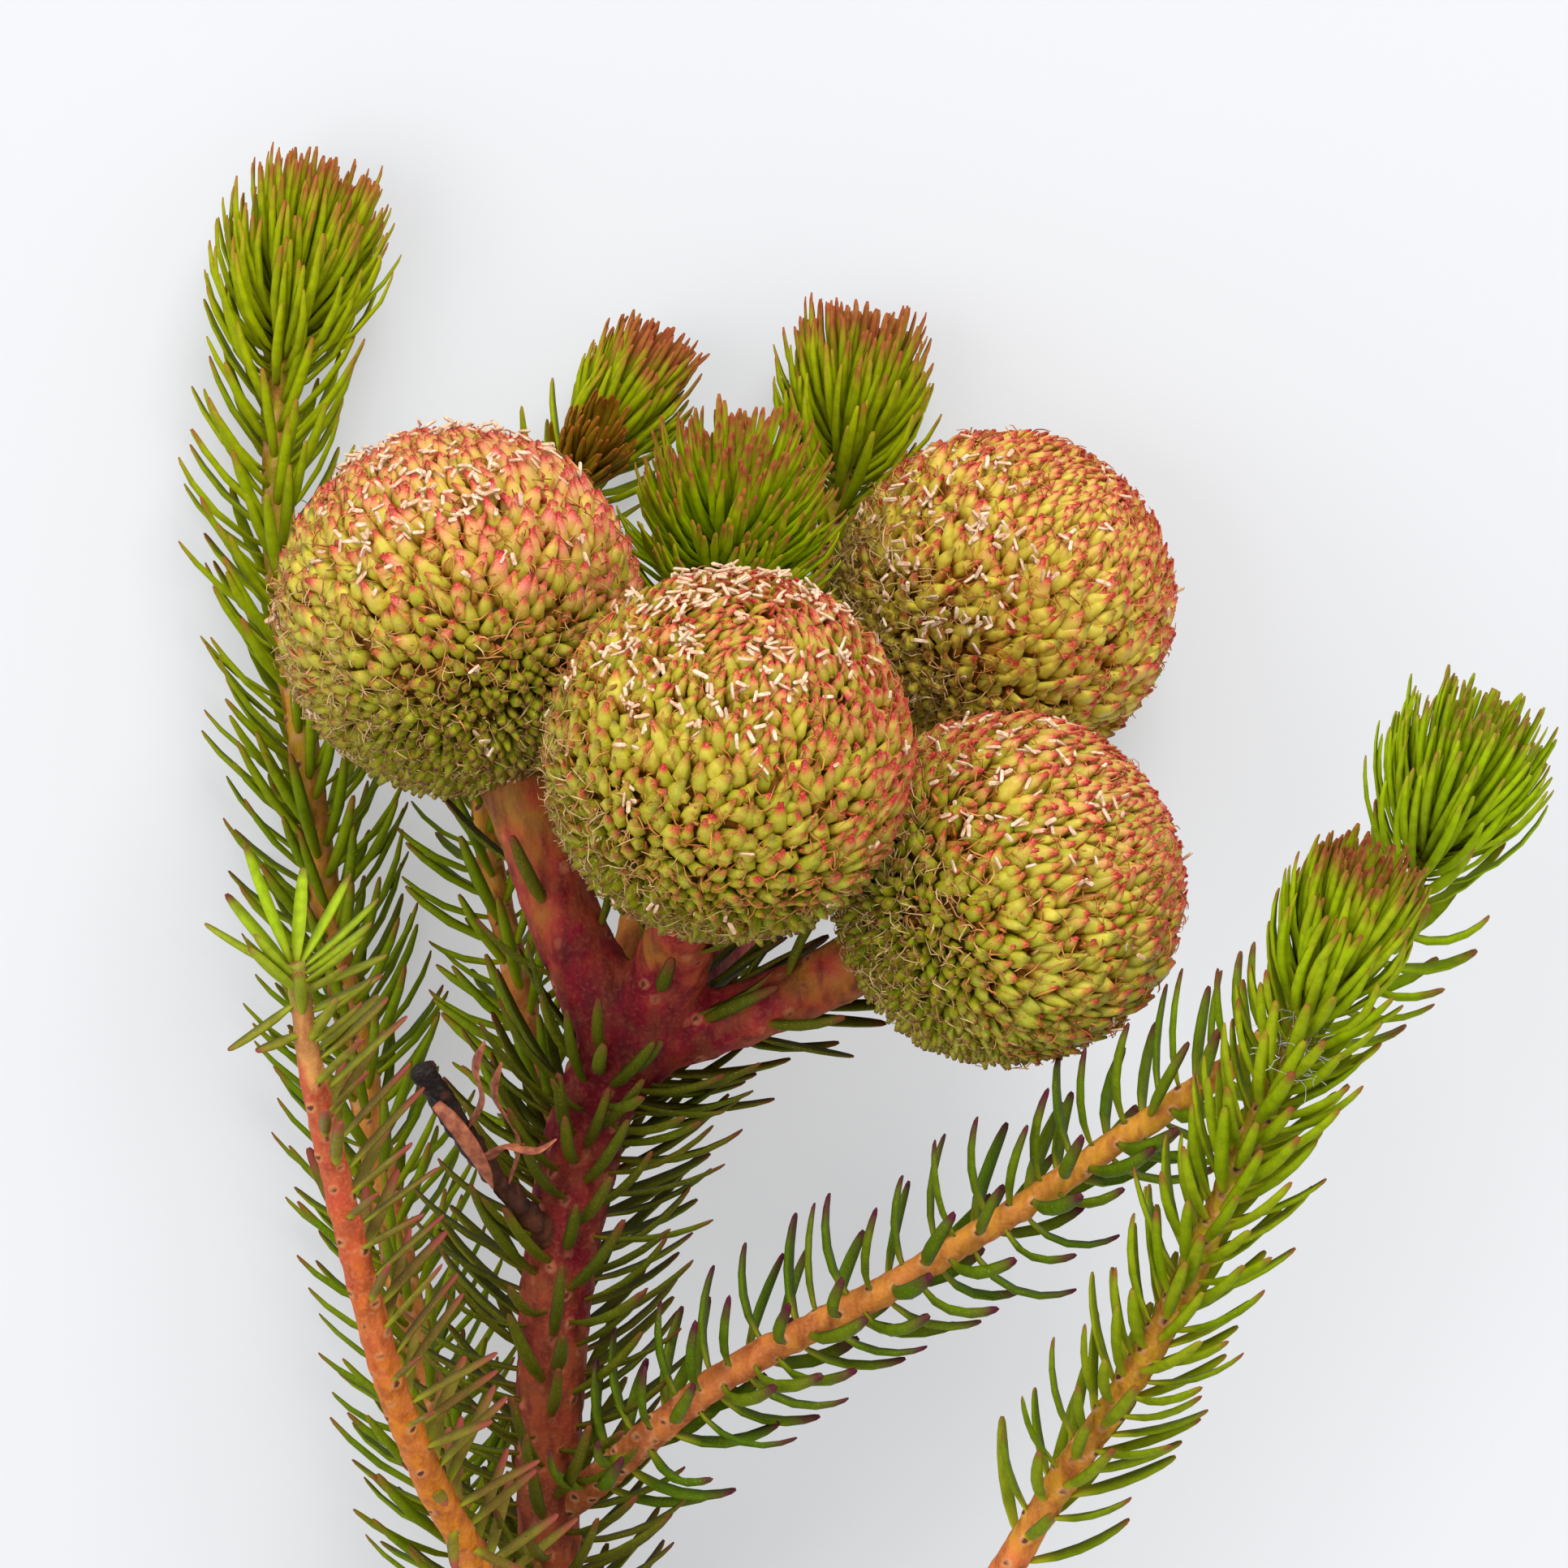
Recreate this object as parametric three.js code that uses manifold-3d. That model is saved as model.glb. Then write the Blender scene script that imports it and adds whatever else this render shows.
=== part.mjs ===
// A cut berzelia stem lying on a table: four globe-shaped heads on thick peduncles, and leafy side shoots.
// Millimetres. X runs across the stem and Y along it, toward the heads. Z points up from the table.
import * as THREE from 'three';
import { ConvexHull } from 'three/addons/math/ConvexHull.js';
import Module from 'manifold-3d';

const wasm = await Module();
wasm.setup();

// Driving dimensions. All points are measured from a spot a little to the right of the fork, where the
// peduncles part. TABLE is the height of the table there, and MIDDLE the middle of the finished part.
const TABLE = -19.9;
const MIDDLE = [6.8, -24.1];
const SEAT_GAP = 0.3;
const CLEARANCE = 0.3;
const GOLDEN_ANGLE = Math.PI * (3 - Math.sqrt(5));

const FORK = [-5.2, -1.5, 0];
const FORK_RADIUS = 2.7;

// The main stem runs from its cut end to the fork. Radii are given at even spacing along it.
const MAIN_PATH = [
  [-8.8, -94, -18.3],
  [-8.6, -66, -13.4],
  [-9.0, -46, -9.6],
  [-9.4, -28.9, -6.2],
  [-9.3, -19.2, -4.2],
  [-8.6, -11.4, -2.6],
  [-6.9, -4.4, -0.9],
  FORK,
];
const MAIN_RADII = [1.75, 1.65, 1.6, 1.7, 2.2];
const MAIN_NEEDLES = 108;
const MAIN_NEEDLE_LENGTH = 6.6;
const MAIN_LEAFY = [0.25, 0.99];
const MAIN_THINNING = 1.35;

// Each peduncle leaves the fork, passes its shoulder and runs a little way into its head.
const HEADS = [
  { name: 'head_front', centre: [0, 13.3, 13], radius: 9.15, shoulder: [-3.4, 1.6, 1.8], seed: 11 },
  { name: 'head_left', centre: [-13.9, 20.8, 1], radius: 9.25, shoulder: [-8.4, 4.6, 0.5], seed: 12 },
  { name: 'head_right_low', centre: [14.3, 6.5, 3.8], radius: 8.8, shoulder: [1.2, 0.2, 0.8], seed: 13 },
  { name: 'head_right_back', centre: [14.3, 21.4, -11.45], radius: 8.8, shoulder: [6.9, 13.3, -16], seed: 14 },
];
const PEDUNCLE_RADII = [2.35, 2.0, 1.85, 2.05];
const PEDUNCLE_REACH = 1.7;
const PEDUNCLE_NEEDLES = 5;
const PEDUNCLE_LEAFY = [0.2, 0.62];
const PEDUNCLE_NEEDLE_LENGTH = 4.6;
const PEDUNCLE_NEEDLE_TILT = 0.6;

// Florets are larger than life, so that few of them cover a head.
const FLORETS_A_HEAD = 208;
const FLORET_DEPTH = 1.35;
const FLORET_LEAN = 0.35;
const FLORET_UNEVEN = 0.32;

// Angles are in radians, from the direction in which the stem grows.
const NEEDLE_WIDTH = 0.8;
const NEEDLE_DEPTH = 0.66;
const NEEDLE_TILT = 0.85;
const NEEDLE_BOW = 0.22;
const NEEDLE_UNEVEN = 0.1;
const NEEDLE_ROLL = -0.3;
const SPIN_UNEVEN = 0.3;
const ROOT_SINK = 0.75;
const LEAST_SINE = 0.5;
const SCATTER_SPAN = [0.12, 0.97];
const SCATTER_LENGTH = 0.8;
const SHED_SIDE = 0.1;
const BRUSH_REACH = 5;
const BRUSH_TILT = 0.62;
const BRUSH_CORE_TILT = 0.03;
const BRUSH_CORE_LENGTH = 0.86;

// What a needle tries, in this order, when another piece is in its way.
const SHORTER = [1, 0.8, 0.62];
const CLOSER = [1, 0.78, 0.58];
const TURNED = [0, 0.35, -0.35, 0.7, -0.7];

const MAIN_SIDES = 9;
const MAIN_STEP = 4;
const PEDUNCLE_SIDES = 8;
const PEDUNCLE_STEP = 3.2;
const SHOOT_SIDES = 6;
const SHOOT_STEP = 4.4;
const TWIG_STEP = 1.6;
const CURVE_STEPS = 200;

// The length of a side shoot that lies hidden in the main stem.
const HIDDEN_START = 2;

const GREEN_OLD = 0x4a6b1c;
const GREEN_YOUNG = 0x6f8f1e;
const BARK_RED = 0x8a3a24;
const FLORET_GREEN = 0x96801f;
const WITHERED_BROWN = 0x4a2c1e;

// Side shoots, from their start on the axis of the main stem to the tip of their wood. leafyFrom is how far
// along the needles begin, scattered is how many stand below that, and bareSide is where they are shed.
const SHOOTS = [
  {
    name: 'shoot_right_front',
    path: [[-8.6, -64, -13], [2.5, -46.1, -4], [14.1, -28.1, 5], [16.9, -23.3, 8], [20.5, -17.8, 11],
      [23.3, -12.4, 13], [26.1, -5.8, 15], [28.4, -0.9, 17], [30.3, 4.2, 19]],
    radii: [0.95, 0.9, 0.85, 0.8, 0.7, 0.5],
    needles: 76,
    needleLength: 5.2,
    leafyFrom: 0.47,
    scattered: 9,
    brush: 26,
    brushLength: 6.8,
    colour: GREEN_YOUNG,
    seed: 21,
  },
  {
    name: 'shoot_left_front',
    path: [[-9.5, -35.6, -7.5], [-10.9, -32.2, -3.6], [-12.9, -28.4, 0.2], [-15.3, -23.5, 5],
      [-17.2, -18.3, 9], [-18.7, -12.4, 12], [-19.9, -7.1, 14], [-20.8, -2.9, 16], [-21.4, 1.6, 17.5]],
    radii: [0.85, 0.82, 0.78, 0.74, 0.66, 0.5],
    needles: 46,
    needleLength: 4.1,
    leafyFrom: 0.12,
    scattered: 2,
    bareSide: [-1, 0, 0.3],
    brush: 12,
    brushLength: 4.8,
    brushTilt: 1.0,
    colour: GREEN_YOUNG,
    seed: 22,
  },
  {
    name: 'shoot_right_branch',
    path: [[-9.1, -26, -5.6], [-5.5, -22.5, -3], [-2.9, -19.6, -1.2], [0, -17.3, 0], [8.3, -12.4, 2.6],
      [16.5, -7.7, 4.6], [23.9, -4.4, 5.6], [28.8, -0.4, 6.6], [33.4, 4.1, 8.6], [35.9, 9.2, 10.4],
      [36.9, 12, 11.4]],
    radii: [0.85, 0.8, 0.72, 0.66, 0.62, 0.5],
    needles: 60,
    needleLength: 5.2,
    leafyFrom: 0.05,
    scattered: 0,
    brush: 30,
    brushLength: 7.2,
    colour: GREEN_OLD,
    seed: 23,
  },
  {
    name: 'shoot_centre',
    path: [[-5.9, -3, -0.4], [-5.6, 2, -5.4], [-3.6, 10, -8.6], [-1.2, 18.6, -8.4], [0, 25.4, -5.4]],
    radii: [0.85, 0.8, 0.75, 0.6],
    needles: 22,
    needleLength: 5.4,
    leafyFrom: 0.25,
    scattered: 0,
    brush: 38,
    brushLength: 6.6,
    brushTilt: 0.95,
    colour: GREEN_OLD,
    seed: 24,
  },
  {
    name: 'shoot_back_right',
    path: [[-8, -8.4, -1.9], [-6.4, -3.2, -8.4], [-3, 5.4, -13], [1.4, 14, -15.2], [4.7, 22.4, -15.4],
      [6.3, 31.8, -15.3]],
    radii: [0.8, 0.75, 0.7, 0.55],
    needles: 26,
    needleLength: 5.2,
    leafyFrom: 0.25,
    scattered: 0,
    brush: 24,
    brushLength: 6.2,
    colour: GREEN_OLD,
    seed: 25,
  },
  {
    name: 'shoot_back_left',
    path: [[-8.6, -11.6, -2.6], [-9.6, -5.6, -7.2], [-11.2, 1.6, -11.8], [-12.9, 9, -14.8],
      [-12.9, 14, -15.5], [-11.4, 22.3, -15.6], [-7.5, 29, -15.5], [-5.5, 32.6, -15.3]],
    radii: [0.8, 0.75, 0.7, 0.65, 0.55],
    twig: {
      from: 0.86,
      tip: [-7.6, 29.6, -12.2],
      radii: [0.5, 0.35],
      needles: 8,
      needleLength: 2.6,
      leafyFrom: 0.5,
      tilts: [0.55, 0.15],
    },
    needles: 30,
    needleLength: 5.2,
    leafyFrom: 0.12,
    scattered: 0,
    brush: 24,
    brushLength: 5.4,
    colour: GREEN_OLD,
    seed: 26,
  },
  {
    name: 'shoot_left_tall',
    path: [[-9, -42, -8.8], [-12, -34.5, -10.6], [-14.5, -26.2, -12.4], [-17.1, -15.2, -14.4],
      [-19.7, -2.4, -15.4], [-21.4, 6.1, -15.6], [-22.7, 14.7, -15.6], [-23.8, 23.2, -15.6],
      [-24, 30.9, -15.5], [-23.5, 35.6, -15.3], [-22.7, 39, -15.2]],
    radii: [0.95, 0.92, 0.88, 0.82, 0.75, 0.55],
    needles: 58,
    needleLength: 5.4,
    leafyFrom: 0.08,
    scattered: 0,
    brush: 28,
    brushLength: 7,
    colour: GREEN_OLD,
    seed: 27,
  },
];

// A dead side shoot with dried, curled leaf strips.
const STUB = {
  name: 'withered_stub',
  path: [[-8.7, -12.4, -2.8], [-10.9, -9.6, 1], [-13.4, -6.4, 4.4], [-15.6, -2.6, 7]],
  radii: [0.95, 0.7, 0.6, 0.75],
  strips: [
    [[-11.4, -8.9, 2], [-10.8, -6.3, 3.9], [-12, -4, 5.2], [-11.6, -2.3, 6.4]],
    [[-12.6, -7.4, 3.6], [-11.4, -6.6, 5.4], [-9.8, -6.8, 6.4], [-8.8, -6.2, 6.7]],
    [[-13.6, -6, 4.6], [-12.6, -4.2, 6.2], [-12.9, -2.6, 7.4], [-12.4, -1.2, 8.4]],
  ],
  stripRadii: [0.42, 0.42, 0.34, 0.3],
  sides: 7,
  stripSides: 4,
  step: 1.5,
};

function vector(xyz) {
  return new THREE.Vector3(...xyz);
}

function curveThrough(path) {
  return new THREE.CatmullRomCurve3(path.map(vector), false, 'centripetal');
}

// Random numbers between 0 and 1 that come out the same for the same seed.
function drawsFrom(seed) {
  let state = seed * 2654435761 >>> 0;
  return function draw() {
    state = state + 0x6d2b79f5 >>> 0;
    let mixed = Math.imul(state ^ state >>> 15, 1 | state);
    mixed = mixed + Math.imul(mixed ^ mixed >>> 7, 61 | mixed) ^ mixed;
    return ((mixed ^ mixed >>> 14) >>> 0) / 4294967296;
  };
}

// The value at u, from 0 to 1, between evenly spaced stations.
function between(stations, u) {
  const place = THREE.MathUtils.clamp(u, 0, 1) * (stations.length - 1);
  const before = Math.min(Math.floor(place), stations.length - 2);
  return THREE.MathUtils.lerp(stations[before], stations[before + 1], place - before);
}

function solidFrom(points, triangles) {
  const vertProperties = new Float32Array(points.length * 3);
  points.forEach((point, i) => point.toArray(vertProperties, i * 3));
  const triVerts = new Uint32Array(triangles.flat());
  return new wasm.Manifold(new wasm.Mesh({ numProp: 3, vertProperties, triVerts }));
}

function geometryFrom(solid) {
  const mesh = solid.getMesh();
  const geometry = new THREE.BufferGeometry();
  geometry.setAttribute('position', new THREE.BufferAttribute(mesh.vertProperties, 3));
  geometry.setIndex(new THREE.BufferAttribute(mesh.triVerts, 1));
  geometry.computeVertexNormals();
  return geometry;
}

// The largest connected body of a solid, without loose scraps and sealed hollows.
function largestBody(solid) {
  const bodies = solid.decompose();
  return bodies.reduce((best, body) => (body.volume() > best.volume() ? body : best));
}

// A closed tube along a curve, with flat ends and a radius that follows the stations. Where it would sink
// into the table it is flattened.
function tube(curve, radii, step, sides, extra = 0) {
  const rings = Math.max(3, Math.round(curve.getLength() / step));
  const frames = curve.computeFrenetFrames(rings, false);
  const points = [];
  const triangles = [];
  for (let ring = 0; ring <= rings; ring += 1) {
    const u = ring / rings;
    const centre = curve.getPointAt(u);
    const radius = between(radii, u) + extra;
    for (let side = 0; side < sides; side += 1) {
      const angle = side / sides * 2 * Math.PI;
      const point = centre.clone();
      point.addScaledVector(frames.normals[ring], Math.cos(angle) * radius);
      point.addScaledVector(frames.binormals[ring], Math.sin(angle) * radius);
      point.z = Math.max(point.z, TABLE);
      points.push(point);
      if (ring < rings) {
        const here = ring * sides + side;
        const next = ring * sides + (side + 1) % sides;
        triangles.push([here, next, here + sides], [next, next + sides, here + sides]);
      }
    }
  }
  const last = rings * sides;
  for (let side = 1; side < sides - 1; side += 1) {
    triangles.push([0, side + 1, side], [last, last + side, last + side + 1]);
  }
  return solidFrom(points, triangles);
}

// A three-sided needle, pointed at both ends and widest at its middle, with its flat face toward facing.
function spindle({ root, middle, tip, facing }) {
  const along = tip.clone().sub(root).normalize();
  const across = new THREE.Vector3().crossVectors(facing, along).normalize();
  const up = new THREE.Vector3().crossVectors(along, across);
  const face = middle.clone().addScaledVector(up, NEEDLE_DEPTH / 3);
  const left = face.clone().addScaledVector(across, NEEDLE_WIDTH / 2);
  const right = face.clone().addScaledVector(across, -NEEDLE_WIDTH / 2);
  const keel = face.clone().addScaledVector(up, -NEEDLE_DEPTH);
  const triangles = [[0, 2, 1], [0, 3, 2], [0, 1, 3], [4, 1, 2], [4, 2, 3], [4, 3, 1]];
  return solidFrom([root, left, right, keel, tip], triangles);
}

// What already takes up room: line segments with a radius, each owned by a piece.
const occupied = [];

function occupy(owner, start, end, radius) {
  occupied.push({ owner, line: new THREE.Line3(start.clone(), end.clone()), radius });
}

// A tube's room, without the length that is hidden in the stem it springs from.
function occupyTube(owner, curve, radii, hidden = 0) {
  const count = Math.ceil(curve.getLength());
  for (let i = hidden; i < count; i += 1) {
    const radius = Math.max(between(radii, i / count), between(radii, (i + 1) / count));
    occupy(owner, curve.getPointAt(i / count), curve.getPointAt((i + 1) / count), radius);
  }
}

const nearestHere = new THREE.Vector3();
const nearestThere = new THREE.Vector3();

function isClear(owner, start, end) {
  const line = new THREE.Line3(start, end);
  return occupied.every((other) => {
    const room = CLEARANCE + NEEDLE_WIDTH / 2 + other.radius;
    const isOwn = other.owner === owner;
    return isOwn || line.distanceSqToLine3(other.line, nearestHere, nearestThere) > room * room;
  });
}

// A stem's curve and radii, with the directions along and across it for placing needles.
function stemFrames(curve, radii) {
  return { curve, radii, ...curve.computeFrenetFrames(CURVE_STEPS, false) };
}

function radialAt(stem, u, spin) {
  const index = Math.round(u * CURVE_STEPS);
  const radial = stem.normals[index].clone().multiplyScalar(Math.cos(spin));
  return radial.addScaledVector(stem.binormals[index], Math.sin(spin));
}

// A needle is rooted in its stem, leaves it outward, bows, and is bent up where the table is in its way.
function needlePoints(stem, { u, spin, tilt, length }) {
  const tangent = stem.tangents[Math.round(u * CURVE_STEPS)];
  const radial = radialAt(stem, u, spin);
  const radius = between(stem.radii, u);
  const heading = (angle) => {
    return tangent.clone().multiplyScalar(Math.cos(angle)).addScaledVector(radial, Math.sin(angle));
  };
  const root = stem.curve.getPointAt(u).addScaledVector(radial, radius * (1 - ROOT_SINK));
  const sunk = radius * ROOT_SINK / Math.max(LEAST_SINE, Math.sin(tilt));
  const middle = root.clone().addScaledVector(heading(tilt + NEEDLE_BOW), sunk + length / 2);
  const tip = middle.clone().addScaledVector(heading(tilt - NEEDLE_BOW), length / 2);
  middle.z = Math.max(middle.z, TABLE + NEEDLE_WIDTH);
  tip.z = Math.max(tip.z, TABLE);
  return { root, middle, tip, facing: tangent.clone().addScaledVector(radial, NEEDLE_ROLL) };
}

// Where a needle would meet another piece, it is turned, closed up or shortened until it is clear.
function placeNeedle(owner, stem, { u, spin, tilt, length }) {
  for (const shorter of SHORTER) {
    for (const closer of CLOSER) {
      for (const turned of TURNED) {
        const trial = { u, spin: spin + turned, tilt: tilt * closer, length: length * shorter };
        const needle = needlePoints(stem, trial);
        if (isClear(owner, needle.root, needle.middle) && isClear(owner, needle.middle, needle.tip)) {
          return needle;
        }
      }
    }
  }
  return null;
}

function addNeedles(owner, solid, stem, plans) {
  let grown = solid;
  for (const plan of plans) {
    const needle = placeNeedle(owner, stem, plan);
    if (needle) {
      occupy(owner, needle.root, needle.middle, NEEDLE_WIDTH / 2);
      occupy(owner, needle.middle, needle.tip, NEEDLE_WIDTH / 2);
      grown = grown.add(spindle(needle));
    }
  }
  return grown;
}

// Needles stand in a spiral along a shoot, a few of them scattered below, and form a brush at its tip.
function shootNeedles(shoot, stem) {
  const draw = drawsFrom(shoot.seed);
  const brushStart = 1 - BRUSH_REACH / stem.curve.getLength();
  const plans = [];
  const place = (u, spin, tilt, length) => {
    const uneven = (draw() * 2 - 1) * NEEDLE_UNEVEN;
    plans.push({ u, spin, tilt: tilt * (1 + uneven), length: length * (1 - uneven) });
  };
  for (let i = 0; i < shoot.scattered; i += 1) {
    const u = shoot.leafyFrom * THREE.MathUtils.lerp(...SCATTER_SPAN, draw());
    place(u, i * GOLDEN_ANGLE, NEEDLE_TILT, shoot.needleLength * SCATTER_LENGTH);
  }
  for (let i = 0; i < shoot.needles; i += 1) {
    const u = THREE.MathUtils.lerp(shoot.leafyFrom, brushStart, i / shoot.needles);
    const spin = i * GOLDEN_ANGLE + (draw() - 0.5) * SPIN_UNEVEN;
    const isShed = shoot.bareSide && radialAt(stem, u, spin).dot(vector(shoot.bareSide)) > SHED_SIDE;
    if (!isShed) {
      place(u, spin, NEEDLE_TILT, shoot.needleLength);
    }
  }
  for (let i = 0; i < shoot.brush; i += 1) {
    const t = (i + 0.5) / shoot.brush;
    const u = THREE.MathUtils.lerp(brushStart, 1, Math.sqrt(t));
    const tilt = (shoot.brushTilt || BRUSH_TILT) * Math.sqrt(1 - t) + BRUSH_CORE_TILT;
    place(u, i * GOLDEN_ANGLE, tilt, shoot.brushLength * THREE.MathUtils.lerp(1, BRUSH_CORE_LENGTH, t));
  }
  return plans;
}

// The direction from a head's peduncle through its centre, toward its crown.
function crownOf(spec) {
  return vector(spec.centre).sub(vector(spec.shoulder)).normalize();
}

function peduncleCurve(spec, extra = 0) {
  const inward = PEDUNCLE_REACH + extra - spec.radius;
  const end = vector(spec.centre).addScaledVector(crownOf(spec), inward);
  return curveThrough([FORK, spec.shoulder, end.toArray()]);
}

function peduncle(spec, extra) {
  return tube(peduncleCurve(spec, extra), PEDUNCLE_RADII, PEDUNCLE_STEP, PEDUNCLE_SIDES, extra);
}

// The swollen fork, a faceted ball whose doubled corners are joined.
function fork(extra) {
  const position = new THREE.IcosahedronGeometry(FORK_RADIUS + extra, 1).getAttribute('position');
  const points = [];
  const corners = [];
  for (let i = 0; i < position.count; i += 1) {
    const point = new THREE.Vector3().fromBufferAttribute(position, i).add(vector(FORK));
    let corner = points.findIndex((other) => other.distanceTo(point) < 0.001);
    if (corner < 0) {
      corner = points.push(point) - 1;
    }
    corners.push(corner);
  }
  return solidFrom(points, corners);
}

// The wood of the main stem and its peduncles. extra makes it thicker all round, to cut seats in its
// neighbours.
function mainWood(extra) {
  let wood = tube(curveThrough(MAIN_PATH), MAIN_RADII, MAIN_STEP, MAIN_SIDES, extra);
  wood = wood.add(fork(extra));
  for (const spec of HEADS) {
    wood = wood.add(peduncle(spec, extra));
  }
  return wood;
}

// Needles crowd below the fork and thin out downward. A few stand on the lower part of each peduncle.
function mainStem() {
  const draw = drawsFrom(5);
  const plans = [];
  for (let i = 0; i < MAIN_NEEDLES; i += 1) {
    const u = THREE.MathUtils.lerp(MAIN_LEAFY[1], MAIN_LEAFY[0], (i / MAIN_NEEDLES) ** MAIN_THINNING);
    const uneven = 1 + (draw() * 2 - 1) * NEEDLE_UNEVEN;
    const tilt = NEEDLE_TILT * uneven;
    plans.push({ u, spin: i * GOLDEN_ANGLE, tilt, length: MAIN_NEEDLE_LENGTH * uneven });
  }
  const stem = stemFrames(curveThrough(MAIN_PATH), MAIN_RADII);
  let solid = addNeedles('main_stem', mainWood(0), stem, plans);
  HEADS.forEach((spec, order) => {
    const stalk = stemFrames(peduncleCurve(spec), PEDUNCLE_RADII);
    const stalkPlans = [];
    for (let i = 0; i < PEDUNCLE_NEEDLES; i += 1) {
      const u = THREE.MathUtils.lerp(...PEDUNCLE_LEAFY, i / PEDUNCLE_NEEDLES);
      const spin = i * GOLDEN_ANGLE + order;
      stalkPlans.push({ u, spin, tilt: PEDUNCLE_NEEDLE_TILT, length: PEDUNCLE_NEEDLE_LENGTH });
    }
    solid = addNeedles('main_stem', solid, stalk, stalkPlans);
  });
  return solid;
}

// Floret sites on a ball of radius 1, in a spiral from the crown down.
function floretSites() {
  const sites = [];
  for (let i = 0; i < FLORETS_A_HEAD; i += 1) {
    const height = 1 - (i + 0.5) / FLORETS_A_HEAD * 2;
    const reach = Math.sqrt(1 - height * height);
    const turn = i * GOLDEN_ANGLE;
    sites.push(new THREE.Vector3(Math.cos(turn) * reach, Math.sin(turn) * reach, height));
  }
  return sites;
}

// A head is a relief: each site is the tip of a floret, which leans toward the crown, and a valley lies
// between each three neighbours. Florets are pressed flat where they rest on the table.
function head(spec) {
  const draw = drawsFrom(spec.seed);
  const centre = vector(spec.centre);
  const crown = crownOf(spec);
  const turn = new THREE.Quaternion().setFromUnitVectors(new THREE.Vector3(0, 0, 1), crown);
  const sites = floretSites();
  const points = sites.map((site) => {
    const reach = spec.radius - draw() * FLORET_UNEVEN;
    const tip = site.clone().applyQuaternion(turn).multiplyScalar(reach);
    return tip.addScaledVector(crown, FLORET_LEAN).setLength(reach).add(centre);
  });
  const siteIndex = new Map(sites.map((site, i) => [site, i]));
  const valleyIndex = new Map();
  const faces = new ConvexHull().setFromPoints(sites).faces;
  for (const face of faces) {
    const valley = new THREE.Vector3();
    for (let i = 0; i < 3; i += 1) {
      valley.add(face.getEdge(i).head().point);
    }
    valley.applyQuaternion(turn).setLength(spec.radius - FLORET_DEPTH).add(centre);
    valleyIndex.set(face, points.push(valley) - 1);
  }
  for (const point of points) {
    point.z = Math.max(point.z, TABLE);
  }
  const triangles = [];
  for (const face of faces) {
    for (let i = 0; i < 3; i += 1) {
      const edge = face.getEdge(i);
      const tip = siteIndex.get(edge.tail().point);
      triangles.push([tip, valleyIndex.get(edge.twin.face), valleyIndex.get(face)]);
    }
  }
  return solidFrom(points, triangles).subtract(peduncle(spec, SEAT_GAP));
}

// A leafy side shoot, seated on the main stem, with a brown twig at its side if it has one.
function sideShoot(shoot, seatCutter) {
  const curve = curveThrough(shoot.path);
  const stem = stemFrames(curve, shoot.radii);
  let solid = tube(curve, shoot.radii, SHOOT_STEP, SHOOT_SIDES).subtract(seatCutter);
  solid = addNeedles(shoot.name, solid, stem, shootNeedles(shoot, stem));
  if (shoot.twig) {
    const { from, tip, radii, needles, needleLength, leafyFrom, tilts } = shoot.twig;
    const twig = stemFrames(curveThrough([curve.getPointAt(from).toArray(), tip]), radii);
    const plans = [];
    for (let i = 0; i < needles; i += 1) {
      const t = i / needles;
      const u = THREE.MathUtils.lerp(leafyFrom, 1, t);
      const tilt = THREE.MathUtils.lerp(...tilts, t);
      plans.push({ u, spin: i * GOLDEN_ANGLE, tilt, length: needleLength });
    }
    solid = solid.add(tube(twig.curve, radii, TWIG_STEP, SHOOT_SIDES));
    solid = addNeedles(shoot.name, solid, twig, plans);
  }
  return solid;
}

function witheredStub(seatCutter) {
  let solid = tube(curveThrough(STUB.path), STUB.radii, STUB.step, STUB.sides).subtract(seatCutter);
  for (const strip of STUB.strips) {
    solid = solid.add(tube(curveThrough(strip), STUB.stripRadii, STUB.step, STUB.stripSides));
  }
  return solid;
}

function named(name, solid, colour, roughness) {
  const material = new THREE.MeshStandardMaterial({ color: colour, roughness, metalness: 0 });
  const mesh = new THREE.Mesh(geometryFrom(largestBody(solid)), material);
  mesh.name = name;
  return mesh;
}

// All wood and all heads take up their room before any needle is placed.
function occupyWoodAndHeads() {
  occupyTube('main_stem', curveThrough(MAIN_PATH), MAIN_RADII);
  occupy('main_stem', vector(FORK), vector(FORK), FORK_RADIUS);
  for (const spec of HEADS) {
    occupy(spec.name, vector(spec.centre), vector(spec.centre), spec.radius);
    occupyTube('main_stem', peduncleCurve(spec), PEDUNCLE_RADII);
  }
  for (const shoot of SHOOTS) {
    occupyTube(shoot.name, curveThrough(shoot.path), shoot.radii, HIDDEN_START);
  }
  occupyTube(STUB.name, curveThrough(STUB.path), STUB.radii, HIDDEN_START);
  for (const strip of STUB.strips) {
    occupyTube(STUB.name, curveThrough(strip), STUB.stripRadii);
  }
}

function berzeliaStem() {
  occupyWoodAndHeads();
  const stem = new THREE.Group();
  const seatCutter = mainWood(SEAT_GAP);
  for (const spec of HEADS) {
    stem.add(named(spec.name, head(spec), FLORET_GREEN, 0.8));
  }
  for (const shoot of SHOOTS) {
    stem.add(named(shoot.name, sideShoot(shoot, seatCutter), shoot.colour, 0.6));
  }
  stem.add(named(STUB.name, witheredStub(seatCutter), WITHERED_BROWN, 0.9));
  stem.add(named('main_stem', mainStem(), BARK_RED, 0.75));
  stem.position.set(-MIDDLE[0], -MIDDLE[1], -TABLE);
  return stem;
}

export default berzeliaStem();
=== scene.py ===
# The looks of a cut berzelia stem that lies on a pale table, seen from straight above.
# Points and lengths are in millimetres, as in the stem's own model. row() turns them into the row frame.
import math
from types import SimpleNamespace

import bpy
import numpy as np
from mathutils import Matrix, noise
from mathutils.kdtree import KDTree


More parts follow.
